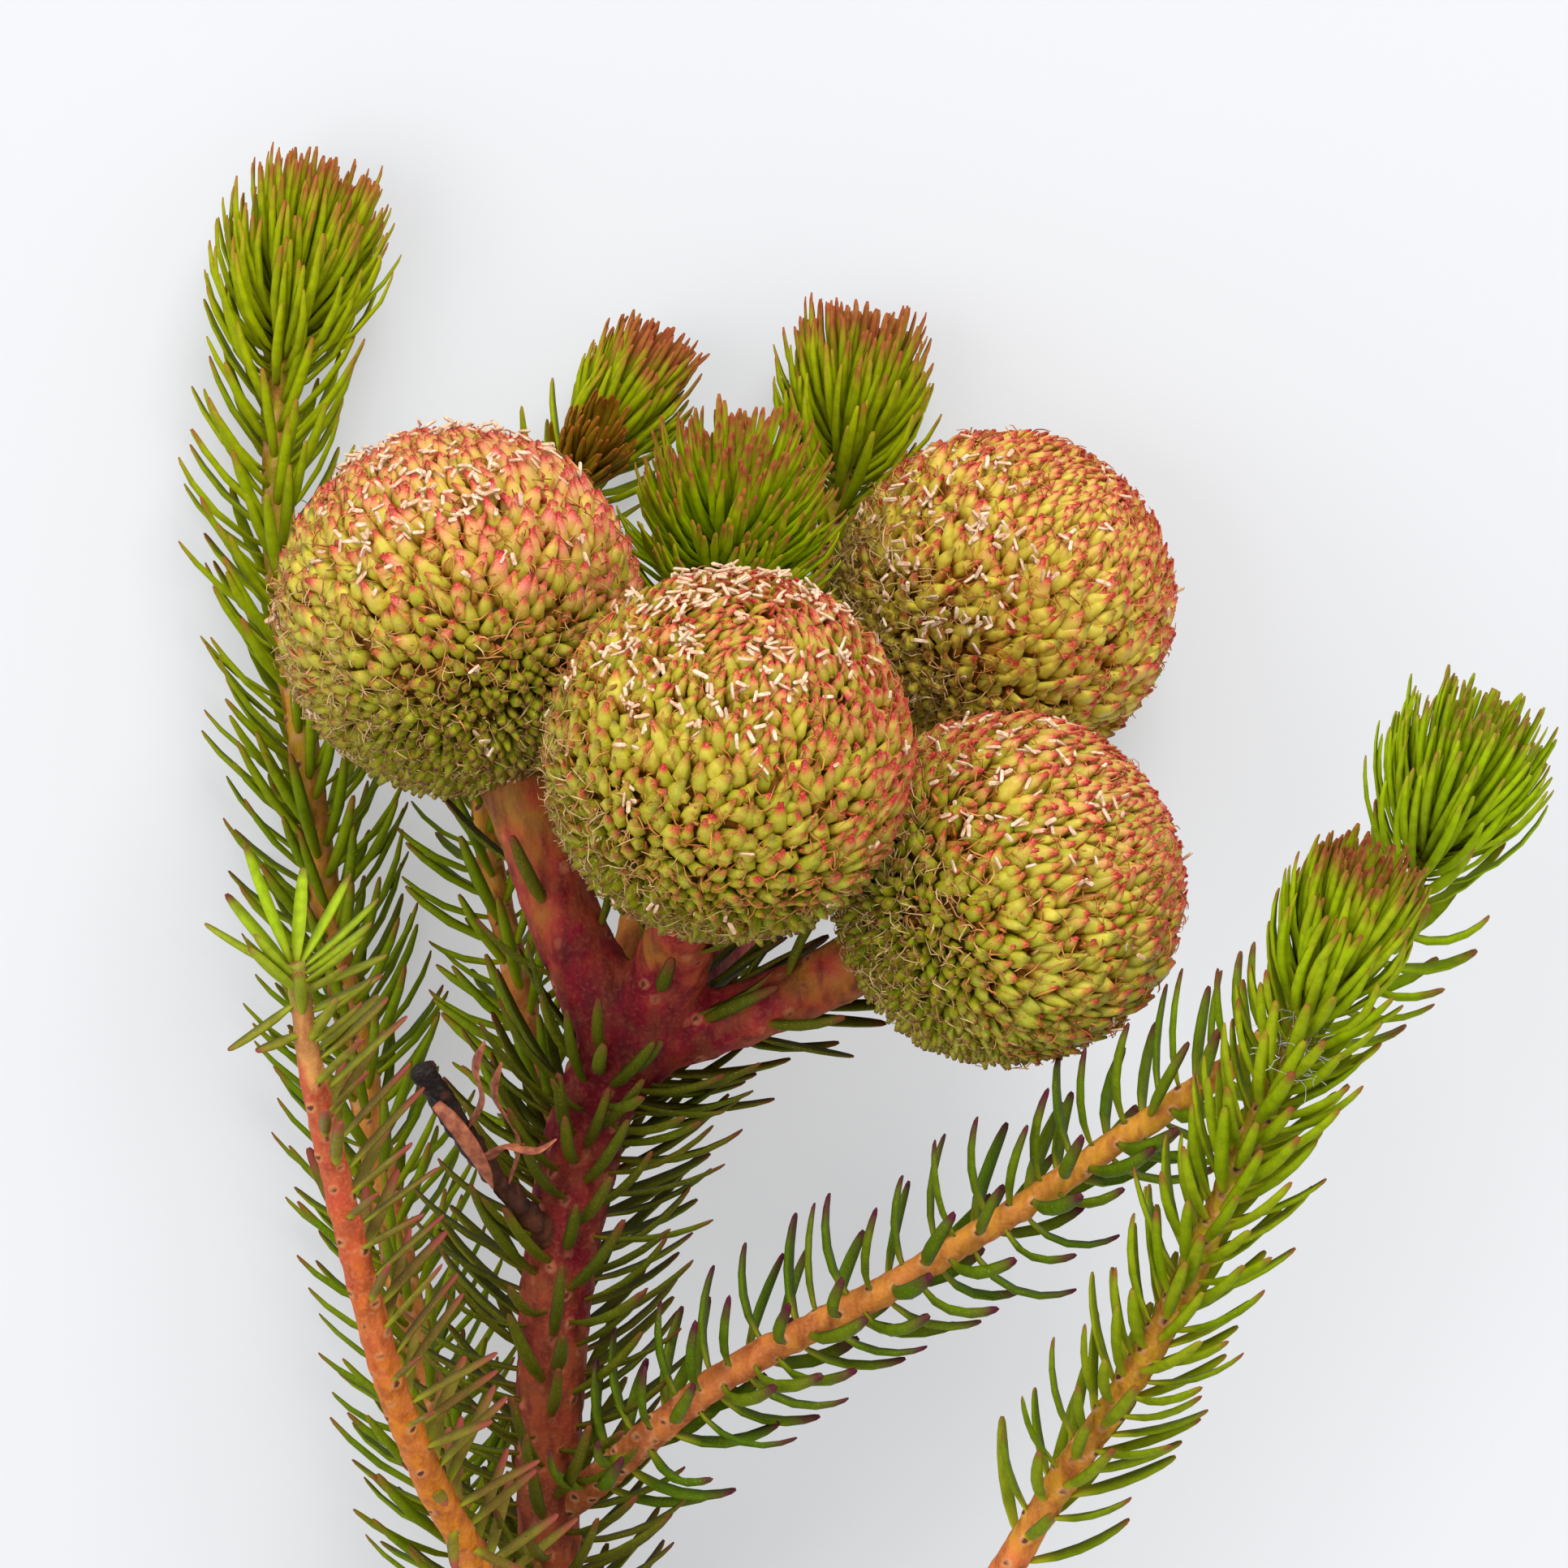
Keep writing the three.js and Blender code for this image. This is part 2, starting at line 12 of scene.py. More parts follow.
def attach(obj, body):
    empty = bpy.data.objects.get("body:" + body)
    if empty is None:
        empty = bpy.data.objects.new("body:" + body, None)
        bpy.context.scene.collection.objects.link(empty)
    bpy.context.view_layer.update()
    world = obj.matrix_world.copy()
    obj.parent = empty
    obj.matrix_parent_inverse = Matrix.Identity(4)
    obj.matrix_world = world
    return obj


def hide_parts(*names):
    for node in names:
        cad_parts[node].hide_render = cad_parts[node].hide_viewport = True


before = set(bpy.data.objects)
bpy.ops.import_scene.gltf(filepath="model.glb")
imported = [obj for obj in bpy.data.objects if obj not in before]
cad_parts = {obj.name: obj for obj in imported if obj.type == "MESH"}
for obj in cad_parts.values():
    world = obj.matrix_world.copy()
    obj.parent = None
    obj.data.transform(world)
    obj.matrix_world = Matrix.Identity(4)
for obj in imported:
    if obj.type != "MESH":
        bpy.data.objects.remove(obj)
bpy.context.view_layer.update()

# The row frame's origin: the spot on the table under the middle of the stem.
ORIGIN = np.array([6.8, -24.1, -19.9])
TABLE = ORIGIN[2]
# The least height of a skin over the table, and of a needle's middle line.
TABLE_GAP = 0.02
NEEDLE_TABLE_GAP = 0.12
GOLDEN_ANGLE = math.pi * (3 - math.sqrt(5))
LIGHTWARD = np.array([0.0, 1.0, 0.0])
# A direction that no head's crown points along.
ASIDE = [0.31, 0.17, 0.93]

# The camera's view: how much of the stem the photograph takes in, and from how far.
PHOTO_WIDTH = 1932 / 24
VIEW_CENTRE = [2.75, 11.83]
VIEW_DISTANCE = 600
SENSOR_WIDTH = 36

# The main stem, the fork and the peduncles that hold the heads.
FORK = [-5.2, -1.5, 0]
FORK_RADIUS = 2.7
# The fork's place along the colours of the bark, from the cut end to the heads.
FORK_SHARE = 0.78
MAIN_PATH = [
    [-8.8, -94, -18.3], [-8.6, -66, -13.4], [-9, -46, -9.6], [-9.4, -28.9, -6.2], [-9.3, -19.2, -4.2],
    [-8.6, -11.4, -2.6], [-6.9, -4.4, -0.9], FORK,
]
MAIN_RADII = [1.75, 1.65, 1.6, 1.7, 2.2]
MAIN_SIDES = 20
MAIN_NEEDLES = 330
MAIN_LEAFY = [0.25, 0.99]
MAIN_THINNING = 1.35
# The bow, lift and width of the needles on the main stem and the peduncles.
MAIN_FORM = [0.25, 0.15, 0.74]
# Scars of fallen leaves: on each peduncle, and on the main stem's bare lower end.
PEDUNCLE_SCARS = 13
MAIN_SCARS = 50
PEDUNCLE_RADII = [2.35, 2.0, 1.85, 2.05]
PEDUNCLE_REACH = 1.7
PEDUNCLE_NEEDLES = 7
PEDUNCLE_LEAFY = [0.2, 0.62]
# Leaves behind and below the lower right head's peduncle: how far below its end each starts, and its reach.
PEDUNCLE_LEAVES = [
    [12.6, 3.8, 3.4, -0.4], [11.9, 4.8, 2.6, -0.2], [11.3, 4.4, 3.4, -0.9], [10.7, 5, 2.4, 0.1],
    [10, 4.7, 3.2, -0.8], [9.2, 5, 2.6, -0.2], [8.4, 4.6, 3.2, -1], [7.4, 4.8, 2.6, -0.4], [11, 4, 4, -1.4],
    [8.6, 4.2, -1, 0.4], [5.6, 4.2, 0.2, -0.6], [6.6, 4.4, -0.8, -0.8],
]
BARK_VOXEL = 0.36
SCAR_RADIUS = 0.33
PIT_RADIUS = 0.15

# sun is the side of a head that has turned red. Anthers lie thickest on their own side, and so do the pale
# filaments of the fringe. pale is painted light: it lightens the florets of a head that lies in the shade of
# the others.
HEADS = [
    dict(name="front", centre=[0, 13.3, 13], radius=9.15, shoulder=[-3.4, 1.6, 1.8], sun=[0.8, 0.55, -0.1],
        redness=0.8, anthers=340, anther_side=[-0.12, 0.8, 0.58], fringe=[-0.9, -0.35, 0.1], seed=11),
    dict(name="left", centre=[-13.9, 20.8, 1], radius=9.25, shoulder=[-8.4, 4.6, 0.5], sun=[0.45, 0.8, 0.2],
        redness=1.1, pale=0.2, anthers=240, anther_side=[-0.1, 0.75, 0.6], fringe=[-0.85, -0.2, 0.3],
        seed=12),
    dict(name="right_low", centre=[14.3, 6.5, 3.8], radius=8.8, shoulder=[1.2, 0.2, 0.8], sun=[0.5, 0.8, 0],
        redness=0.82, stalk=0.86, anthers=120, anther_side=[0, 0.6, 0.7], fringe=[-0.8, -0.1, 0.4], seed=13),
    dict(name="right_back", centre=[14.3, 21.4, -11.45], radius=8.8, shoulder=[6.9, 13.3, -16],
        sun=[0.6, 0.7, 0.1], redness=0.76, pale=0.95, anthers=180, anther_side=[-0.3, 0.3, 0.8],
        fringe=[-0.8, 0, 0.5], seed=14),
]
FLORETS_A_HEAD = 2100
FLORET_SIDES = 5
# Stations along a floret, and its width there as a share of its widest, near the crown and near the foot.
FLORET_STATIONS = [0, 0.5, 0.77, 0.91, 1]
CROWN_WIDTHS = [0.9, 1, 0.66, 0.36, 0.24]
FOOT_WIDTHS = [0.95, 1, 0.6, 0.42, 0.33]
FLORET_DEPTH = 1.3
FLORET_LEAN = 1.2
DRY_FLORETS = 0.06
CORE_DEPTH = 0.95
SCALES_A_HEAD = 900
THREADS_A_HEAD = 2250
# The cut through an anther: two lobes with a groove between them.
ANTHER_OUTLINE = np.array([[-1, 0], [0, -0.8], [1, 0], [0.5, 0.65], [0, 0.15], [-0.5, 0.65]])

# Stations along a needle, and its width there as a share of its widest: close up and farther off.
FINE_NEEDLE = ([0, 0.12, 0.3, 0.5, 0.7, 0.86, 0.96, 1], [0.45, 0.7, 0.95, 1, 0.92, 0.76, 0.55, 0.28])
PLAIN_NEEDLE = ([0, 0.2, 0.5, 0.78, 0.95, 1], [0.5, 0.85, 1, 0.84, 0.54, 0.26])
# The cut through a needle, across it and up toward the stem's tip, as shares of half its width.
NEEDLE_OUTLINE = np.array([[1, 0.2], [0, 0.02], [-1, 0.2], [-0.6, -0.5], [0, -0.72], [0.6, -0.5]])
ROOT_DEPTH = 0.55
HEAD_CLEARANCE = 0.25

# Side shoots. density is the needles for each millimetre of leafy stem, evenness below 1 thins them out
# toward the shoot's foot, and a brush of closer needles ends the shoot. Single leaves have how far below the
# tip each one starts, and its reach to the right, up and forward. What a shoot leaves out is as usual.
USUAL_SHOOT = dict(
    fine=False, leafy_to=1, evenness=1, tilt=[0.9, 0.8], bow=0.25, lift=0.15, width=0.66, flush=0.95,
    young_from=0.5, scattered=0, bare_side=None, brush={}, twig=None, colours="back", bark="ochre",
)
USUAL_BRUSH = dict(count=0, reach=5, bow=0.5, lift=0, width=0.54, flush=0.97, ripeness=0.24)
SHOOTS = [
    dict(name="right_front", path=[[-8.6, -64, -13], [2.5, -46.1, -4], [14.1, -28.1, 5], [16.9, -23.3, 8],
        [20.5, -17.8, 11], [23.3, -12.4, 13], [26.1, -5.8, 15], [28.4, -0.9, 17], [30.1, 3.6, 18.8]],
        radii=[0.95, 0.9, 0.85, 0.8, 0.7, 0.5], fine=True, leafy_from=0.555, density=4.1, evenness=0.7,
        tilt=[0.8, 0.68], length=5.4, width=0.76, scattered=8,
        brush=dict(count=190, length=6.2, tilt=0.46, width=0.6, ripeness=0.15), colours="bright",
        bark="amber", seed=21),
    dict(name="left_front", path=[[-9.5, -35.6, -7.5], [-10.9, -32.2, -3.6], [-12.9, -28.4, 0.2],
        [-15.3, -23.5, 5], [-17.2, -18.3, 9], [-18.7, -12.4, 12], [-19.9, -7.1, 14], [-20.8, -2.9, 16],
        [-21.6, 2.9, 17.9]], radii=[0.88, 0.86, 0.84, 0.8, 0.72, 0.5], fine=True, leafy_from=0.12,
        leafy_to=0.87, density=2.8, tilt=[1.3, 0.95], bow=-0.1, length=5.2, width=0.7, scattered=2,
        bare_side=[-1, 0, 0.3], leaves=[[0, -1.9, 5.7, 0.8], [0.1, -0.2, 4.4, -1.5], [0.1, 2.9, 4.1, -0.5],
        [0.3, 3.8, 3.1, 0.3], [0.6, 3.4, 3, 0.8], [1, 2.9, 2.3, 1.5], [1.4, 3.8, 1.7, -0.5],
        [1.5, 2.1, 1.3, 3], [0.4, -3.4, 3.4, -0.5], [0.5, -4, 2.3, 0.8], [0.6, -1.6, 1.9, 2],
        [1.3, -1.1, 2, 2.5], [2, -3.1, -2.2, 0.8], [3.6, -2.1, -0.7, 1], [2.6, -0.1, 1.9, 2.5],
        [2.6, 3.5, 1.6, 0.3], [3.2, 2.8, 1.9, 1], [4, 1.2, 1.9, 2.5], [4.2, 2.2, 1.8, 1.5],
        [4.8, 3, 2.6, -0.6], [5.2, 3.3, 3, 0.4]], leaf_width=0.8, flush=0.82, young_from=0.8, colours="lime",
        bark="orange", seed=22),
    dict(name="right_branch", path=[[-9.1, -26, -5.6], [-6.3, -23.6, -3.2], [-3.7, -21.3, -1.2],
        [0, -18.4, 0], [8.3, -13.8, 2.6], [15.6, -9.2, 4.4], [19.5, -6.5, 5.1], [24.2, -3.4, 5.7],
        [29, 0.2, 6.8], [33.2, 4, 8.6], [35.2, 8.4, 10.2], [36.2, 10.7, 11.2]],
        radii=[0.85, 0.8, 0.72, 0.66, 0.62, 0.5], fine=True, leafy_from=0.05, density=2.5, tilt=[1.08, 0.96],
        bow=0.38, length=5.6, lift=0.5, width=0.8, flush=0.86,
        brush=dict(count=225, length=6.9, tilt=0.62, width=0.5, lift=0.12, flush=0.99, ripeness=0.06),
        colours="branch", seed=23),
    dict(name="centre", path=[[-5.9, -3, -0.4], [-5.6, 2, -5.4], [-3.6, 10, -8.6], [-1.2, 18.6, -8.4],
        [0, 25.2, -5.4]], radii=[0.85, 0.8, 0.75, 0.6], leafy_from=0.3, density=5, evenness=0.8,
        tilt=[1.05, 1.05], length=6, brush=dict(count=320, length=6.2, tilt=0.98, bow=0.6, ripeness=0.16),
        colours="deep", seed=24),
    dict(name="back_right", path=[[-8, -8.4, -1.9], [-6.4, -3.2, -8.4], [-3, 5.4, -13], [1.4, 14, -15.2],
        [4.7, 22.4, -15.4], [6.3, 31.6, -15.3]], radii=[0.8, 0.75, 0.7, 0.55], leafy_from=0.25, density=4.2,
        evenness=0.8, tilt=[0.9, 0.7], length=5.6, brush=dict(count=230, length=6, tilt=0.66, ripeness=0.3),
        seed=25),
    dict(name="back_left", path=[[-8.6, -11.6, -2.6], [-9.6, -5.6, -7.2], [-11.2, 1.6, -11.8],
        [-12.9, 9, -14.8], [-12.9, 14, -15.5], [-11.4, 22.3, -15.6], [-7.7, 28.4, -15.5],
        [-5.7, 31.8, -15.3]], radii=[0.8, 0.75, 0.7, 0.65, 0.55], leafy_from=0.12, density=3.2, length=5.2,
        brush=dict(count=170, length=5, tilt=0.5, ripeness=0.4),
        twig=dict(start=0.86, tip=[-7.6, 29.2, -12.2], radii=[0.5, 0.35], needles=70, length=3.5), seed=26),
    dict(name="left_tall", path=[[-9, -42, -8.8], [-12, -34.5, -10.6], [-14.5, -26.2, -12.4],
        [-17.1, -15.2, -14.4], [-19.7, -2.4, -15.4], [-21.4, 6.1, -15.6], [-22.7, 14.7, -15.6],
        [-23.8, 23.2, -15.6], [-24, 30.9, -15.5], [-23.5, 35.6, -15.3], [-22.7, 39, -15.2]],
        radii=[0.95, 0.92, 0.88, 0.82, 0.75, 0.55], leafy_from=0.08, density=4.6, evenness=0.85,
        tilt=[1, 0.66], length=6, brush=dict(count=270, reach=7, length=6.6, tilt=0.64, ripeness=0.16),
        seed=27),
]

# A dead side shoot with dried, curled leaf strips.
STUB = dict(
    path=[[-8.7, -12.4, -2.8], [-10.9, -9.6, 1], [-13.4, -6.4, 4.4], [-15.6, -2.6, 7]],
    radii=[0.8, 0.58, 0.52, 0.7],
    strips=[
        [[-11.4, -8.9, 2], [-10.8, -6.3, 3.9], [-12, -4, 5.2], [-11.6, -2.3, 6.4]],
        [[-12.6, -7.4, 3.6], [-11.4, -6.6, 5.4], [-9.8, -6.8, 6.4], [-8.8, -6.2, 6.7]],
        [[-13.6, -6, 4.6], [-12.6, -4.2, 6.2], [-12.9, -2.6, 7.4], [-12.4, -1.2, 8.4]],
        [[-14.9, -4.4, 7], [-13.9, -5.5, 7.1], [-12.8, -7.2, 5.8], [-12.1, -8.8, 4]],
    ],
)
STUB_SCARS = 24

COBWEB_CENTRE = [28.3, -1.2, 18.4]
COBWEB_SPREAD = [0.7, 0.85, 0.35]
COBWEB_HAIRS = 50

# Colours as red, green and blue out of 255, as the eye sees them. Needles: old, young, an old one's tip,
# a young one's tip and the base.
NEEDLE_COLOURS = dict(
    bright=((92, 114, 0), (148, 170, 0), (128, 62, 40), (138, 62, 40), (184, 180, 36)),
    lime=((116, 88, 40), (164, 192, 30), (150, 70, 60), (104, 44, 38), (160, 172, 40)),
    branch=((74, 102, 6), (164, 192, 2), (84, 24, 44), (146, 92, 46), (146, 144, 30)),
    deep=((106, 124, 0), (180, 204, 0), (130, 64, 32), (160, 76, 50), (156, 164, 8)),
    back=((96, 118, 4), (160, 172, 0), (130, 66, 34), (160, 80, 46), (160, 164, 16)),
    main=((72, 74, 14), (94, 104, 10), (110, 54, 34), (110, 54, 34), (120, 96, 24)),
    brown=((150, 116, 14), (156, 112, 18), (146, 84, 24), (160, 92, 34), (130, 116, 12)),
)
# Bark: along the stem, then blotches, cracks, dust and leaf scars.
TAN = ((186, 100, 56), (136, 58, 26), (214, 150, 100), (216, 158, 108))
BARK_COLOURS = dict(
    dead=([(0, (112, 62, 40)), (0.5, (92, 52, 40)), (0.72, (34, 24, 22)), (1, (26, 20, 20))], (54, 34, 28),
        (22, 16, 16), (104, 74, 60), (62, 44, 38)),
    red=([(0, (112, 62, 28)), (0.3, (140, 74, 34)), (0.62, (150, 66, 36)), (0.7, (136, 40, 34)),
        (0.76, (110, 10, 30)), (0.84, (138, 20, 36)), (0.89, (166, 60, 42)), (0.95, (160, 90, 32)),
        (1, (146, 104, 30))], (128, 70, 36), (84, 14, 22), (180, 96, 70), (200, 122, 84)),
    amber=([(0, (176, 98, 56)), (0.35, (208, 116, 62)), (0.53, (216, 118, 58)), (0.62, (212, 148, 38)),
        (0.82, (180, 148, 24)), (1, (146, 150, 24))], *TAN),
    ochre=([(0, (160, 84, 48)), (0.2, (196, 112, 52)), (0.4, (206, 134, 50)), (0.64, (208, 146, 40)),
        (0.82, (180, 148, 24)), (1, (146, 150, 24))], *TAN),
    orange=([(0, (190, 118, 26)), (0.45, (204, 120, 28)), (0.6, (198, 98, 38)), (0.72, (188, 74, 50)),
        (0.84, (192, 84, 54)), (0.9, (204, 146, 80)), (0.94, (176, 120, 68)), (1, (140, 144, 48))], *TAN[:2],
        (218, 146, 100), (206, 144, 92)),
)


def lengths(vectors):
    return np.linalg.norm(vectors, axis=-1)


def unit(vectors):
    vectors = np.asarray(vectors, float)
    return vectors / lengths(vectors)[..., None]


def with_directions(head):
    """A head whose centre and sides are arrays, with the direction of its crown."""
    head = SimpleNamespace(**{"pale": 0, "stalk": 1, **head})
    head.centre = np.array(head.centre, float)
    head.crown = unit(head.centre - head.shoulder)
    head.sun, head.anther_side, head.fringe = unit([head.sun, head.anther_side, head.fringe])
    return head


HEADS = [with_directions(head) for head in HEADS]


def row(points):
    return (np.asarray(points, float) - ORIGIN) / 1000


def smooth_curve(path):
    """Close points on a curve through the path, with knots spaced by the root of the distances."""
    points = np.asarray(path, float)
    knots = np.vstack([2 * points[0] - points[1], points, 2 * points[-1] - points[-2]])
    gaps = np.sqrt(lengths(np.diff(knots, axis=0)))
    t = np.linspace(0, 1, 24, endpoint=False)[:, None]
    bend = 2 * t**3 - 3 * t**2
    a, b, c, d = (knots[i:len(knots) - 3 + i, None] for i in range(4))
    first, middle, last = (gaps[i:len(gaps) - 2 + i, None, None] for i in range(3))
    leaving = ((b - a) / first - (c - a) / (first + middle) + (c - b) / middle) * middle
    arriving = ((c - b) / middle - (d - b) / (middle + last) + (d - c) / last) * middle
    curve = (1 + bend) * b - bend * c + (t**3 - 2 * t**2 + t) * leaving + (t**3 - t**2) * arriving
    return np.vstack([curve.reshape(-1, 3), points[-1:]])


def sampled(at, known, values):
    """Values between the known places, for each column."""
    return np.stack([np.interp(at, known, column) for column in values.T], axis=-1)


def carried_across(along):
    """A direction square to a line, carried along it without twisting."""
    least = np.eye(3)[np.argmin(np.abs(along[0]))]
    across = [unit(np.cross(along[0], least))]
    for direction in along[1:]:
        across.append(unit(across[-1] - direction * (across[-1] @ direction)))
    return np.array(across)


def turned(first, second, angle):
    """Directions turned from the first ones toward the second ones."""
    return first * np.cos(angle)[..., None] + second * np.sin(angle)[..., None]


def spiral(count):
    return np.arange(count) * GOLDEN_ANGLE


class Stem:
    """A centre line in even steps, with the radius and the directions along, across and beside it."""

    def __init__(self, path, radii, step=0.25):
        fine = smooth_curve(path)
        travelled = np.r_[0, np.cumsum(lengths(np.diff(fine, axis=0)))]
        self.length = travelled[-1]
        self.place = np.linspace(0, self.length, max(4, round(self.length / step)) + 1)
        self.share = self.place / self.length
        self.centre = sampled(self.place, travelled, fine)
        self.radius = np.interp(self.share, np.linspace(0, 1, len(radii)), radii)
        self.along = unit(np.gradient(self.centre, axis=0))
        self.across = carried_across(self.along)
        self.beside = np.cross(self.along, self.across)

    def at(self, place):
        """Centre, radius and the three directions at distances from the start."""
        centre = sampled(place, self.place, self.centre)
        radius = np.interp(place, self.place, self.radius)
        directions = [sampled(place, self.place, v) for v in (self.along, self.across, self.beside)]
        return centre, radius, *[unit(v) for v in directions]

    def outward(self, place, spin):
        _, _, _, across, beside = self.at(place)
        return turned(across, beside, spin)

    def surface(self, place, spin):
        centre, radius, *_ = self.at(place)
        return centre + self.outward(place, spin) * radius[:, None]

    def spots(self, count, low, high, turn=0):
        """Points on the surface in a spiral, between two shares of the length."""
        return self.surface(np.linspace(low, high, count) * self.length, spiral(count) + turn)

    def tube(self, sides, **marks):
        outlines = circle(sides) * self.radius[:, None, None]
        return loft(self.centre, self.across, self.beside, outlines, **marks)


class Skin:
    """Points, blocks of faces, and marks: numbers at each point."""

    def __init__(self, points, faces, **marks):
        self.points = points
        self.faces = faces
        self.marks = marks

    def above_table(self, gap=TABLE_GAP):
        self.points = above_table(self.points, gap)
        return self


def merged(skins):
    """Skins with the same marks as one."""
    starts = np.cumsum([0] + [len(skin.points) for skin in skins[:-1]])
    faces = [block + start for skin, start in zip(skins, starts) for block in skin.faces]
    marks = {name: np.concatenate([skin.marks[name] for skin in skins]) for name in skins[0].marks}
    return Skin(np.concatenate([skin.points for skin in skins]), faces, **marks)


def lofted(spines, across, beside, outlines, **marks):
    """Closed skins round many spines. A mark is a row of numbers for the stations, a column for the spines,
    or has both."""
    rims = across[:, :, None] * outlines[..., :1] + beside[:, :, None] * outlines[..., 1:]
    count, rings, sides, _ = rims.shape
    ring, side = np.meshgrid(np.arange(rings - 1), np.arange(sides), indexing="ij")
    here = ring * sides + side
    there = ring * sides + (side + 1) % sides
    quads = np.stack([here, there, there + sides, here + sides], axis=-1).reshape(-1, 4)
    ends = np.stack([np.arange(sides)[::-1], (rings - 1) * sides + np.arange(sides)])
    starts = np.arange(count)[:, None, None] * rings * sides
    spread = {
        name: np.repeat(np.broadcast_to(values, (count, rings)), sides) for name, values in marks.items()
    }
    faces = [(starts + quads).reshape(-1, 4), (starts + ends).reshape(-1, sides)]
    return Skin((spines[:, :, None] + rims).reshape(-1, 3), faces, **spread)


def loft(spine, across, beside, outlines, **marks):
    """A closed skin round one spine. A direction may be the same all along it."""
    across, beside = np.atleast_2d(across), np.atleast_2d(beside)
    return lofted(spine[None], across[None], beside[None], outlines[None], **marks)


def circle(sides):
    angle = np.arange(sides) / sides * 2 * math.pi
    return np.stack([np.cos(angle), np.sin(angle)], axis=-1)


def bent(stations, root, middle, tip):
    """Spines that set off from their root toward the middle and then bend to the tip."""
    t = np.array(stations)[None, :, None]
    return (1 - t)**2 * root[:, None] + 2 * t * (1 - t) * middle[:, None] + t**2 * tip[:, None]


def grown(spines, facing, outline, widths, **marks):
    """Closed skins round many spines. One side is toward facing, and each station has a width."""
    along = unit(np.gradient(spines, axis=1))
    across = unit(np.cross(facing, along))
    return lofted(spines, across, np.cross(along, across), outline * widths[..., None, None], **marks)


def above_table(points, gap):
    """Points, with those that are too low moved up to a gap above the table."""
    points[..., 2] = np.maximum(points[..., 2], TABLE + gap)
    return points


def lumps(points, size):
    """Smooth noise from -1 to 1 with bumps of about this size."""
    return np.array([noise.noise(point) for point in points / size])


def nearest(points, spots):
    """The index of the nearest spot and its distance, for each point."""
    tree = KDTree(len(spots))
    for index, spot in enumerate(spots):
        tree.insert(spot, index)
    tree.balance()
    index, gap = np.array([tree.find(point)[1:] for point in points]).T
    return index.astype(int), gap


def eased(value, low, high):
    """A smooth rise from 0 at low to 1 at high."""
    t = np.clip((value - low) / (high - low), 0, 1)
    return t * t * (3 - 2 * t)


def linear(colour):
    """A colour for a material's socket, from red, green and blue out of 255."""
    shares = [channel / 255 for channel in colour]
    return [s / 12.92 if s <= 0.04045 else ((s + 0.055) / 1.055) ** 2.4 for s in shares] + [1]


class Look:
    """A material in the making. Its methods add nodes and give their outputs. A name they get is a mark's."""

    def __init__(self, name, roughness, specular):
        self.material = bpy.data.materials.new(name)
        self.material.use_nodes = True
        self.surface = self.material.node_tree.nodes["Principled BSDF"]
        self.feed(self.surface, {"Roughness": roughness, "Specular IOR Level": specular})
        self.place = self.node("TexCoord").outputs["Object"]

    def node(self, kind, inputs=(), **settings):
        node = self.material.node_tree.nodes.new("ShaderNode" + kind)
        for name, value in settings.items():
            setattr(node, name, value)
        self.feed(node, dict(inputs))
        return node

    def feed(self, node, inputs):
        """Puts outputs, colours, numbers and marks into a node's sockets."""
        for name, value in inputs.items():
            socket = node.inputs[name]
            if isinstance(value, str):
                value = self.node("Attribute", attribute_name=value).outputs["Fac"]
            if isinstance(value, bpy.types.NodeSocket):
                self.material.node_tree.links.new(value, socket)
            elif isinstance(value, tuple):
                socket.default_value = linear(value)
            else:
                socket.default_value = value

    def noise(self, size, detail=3, stretch=(1, 1, 1)):
        """Noise with grains of about this size."""
        place = self.node("Mapping", {"Vector": self.place, "Scale": list(stretch)}).outputs["Vector"]
        return self.node("TexNoise", {"Vector": place, "Scale": 1000 / size, "Detail": detail}).outputs["Fac"]

    def math(self, operation, a, b):
        return self.node("Math", {0: a, 1: b}, operation=operation).outputs[0]

    def span(self, value, low, high, to_low=0, to_high=1):
        return self.node("MapRange", enumerate([value, low, high, to_low, to_high])).outputs["Result"]

    def mix(self, factor, a, b):
        return self.node("Mix", {0: factor, 6: a, 7: b}, data_type="RGBA").outputs[2]

    def over(self, base, *layers):
        """The base under other colours. A colour's share rises with a value, from none at low to share."""
        for colour, value, low, high, share in layers:
            base = self.mix(self.span(value, low, high, 0, share), base, colour)
        return base

    def ramp(self, factor, stops):
        node = self.node("ValToRGB", {"Fac": factor})
        elements = node.color_ramp.elements
        while len(elements) < len(stops):
            elements.new(0.5)
        for element, (position, colour) in zip(elements, stops):
            element.position = position
            element.color = linear(colour)
        return node.outputs["Color"]

    def finish(self, colour, height=None, depth=0.05, strength=0.5):
        """Sets the colour and a bump of this depth."""
        self.feed(self.surface, {"Base Color": colour})
        if height is not None:
            bump = self.node("Bump", {"Height": height, "Strength": strength, "Distance": depth / 1000})
            self.feed(self.surface, {"Normal": bump.outputs["Normal"]})
        return self.material


def needle_material(name, colours):
    """Green needles: paler at the base, maroon at the tip, with fine pale grains and a tint of their own."""
    old, young, old_tip, tip, base = colours
    look = Look(name, roughness=0.5, specular=0.05)
    mottle = look.noise(0.6)
    grains = look.noise(0.09, detail=1)
    green = look.over(
        look.mix("youth", old, young),
        (base, "tint", 0, 1, 0.3),
        ((52, 62, 2), mottle, 0.4, 0.7, 0.3),
        ((200, 206, 74), grains, 0.6, 0.75, 0.25),
    )
    blush = look.math("MULTIPLY", "flush", look.span(mottle, 0.2, 0.6, 0.75, 1))
    colour = look.mix(blush, look.mix("base", green, base), look.mix("youth", old_tip, tip))
    return look.finish(colour, grains, depth=0.02, strength=0.35)


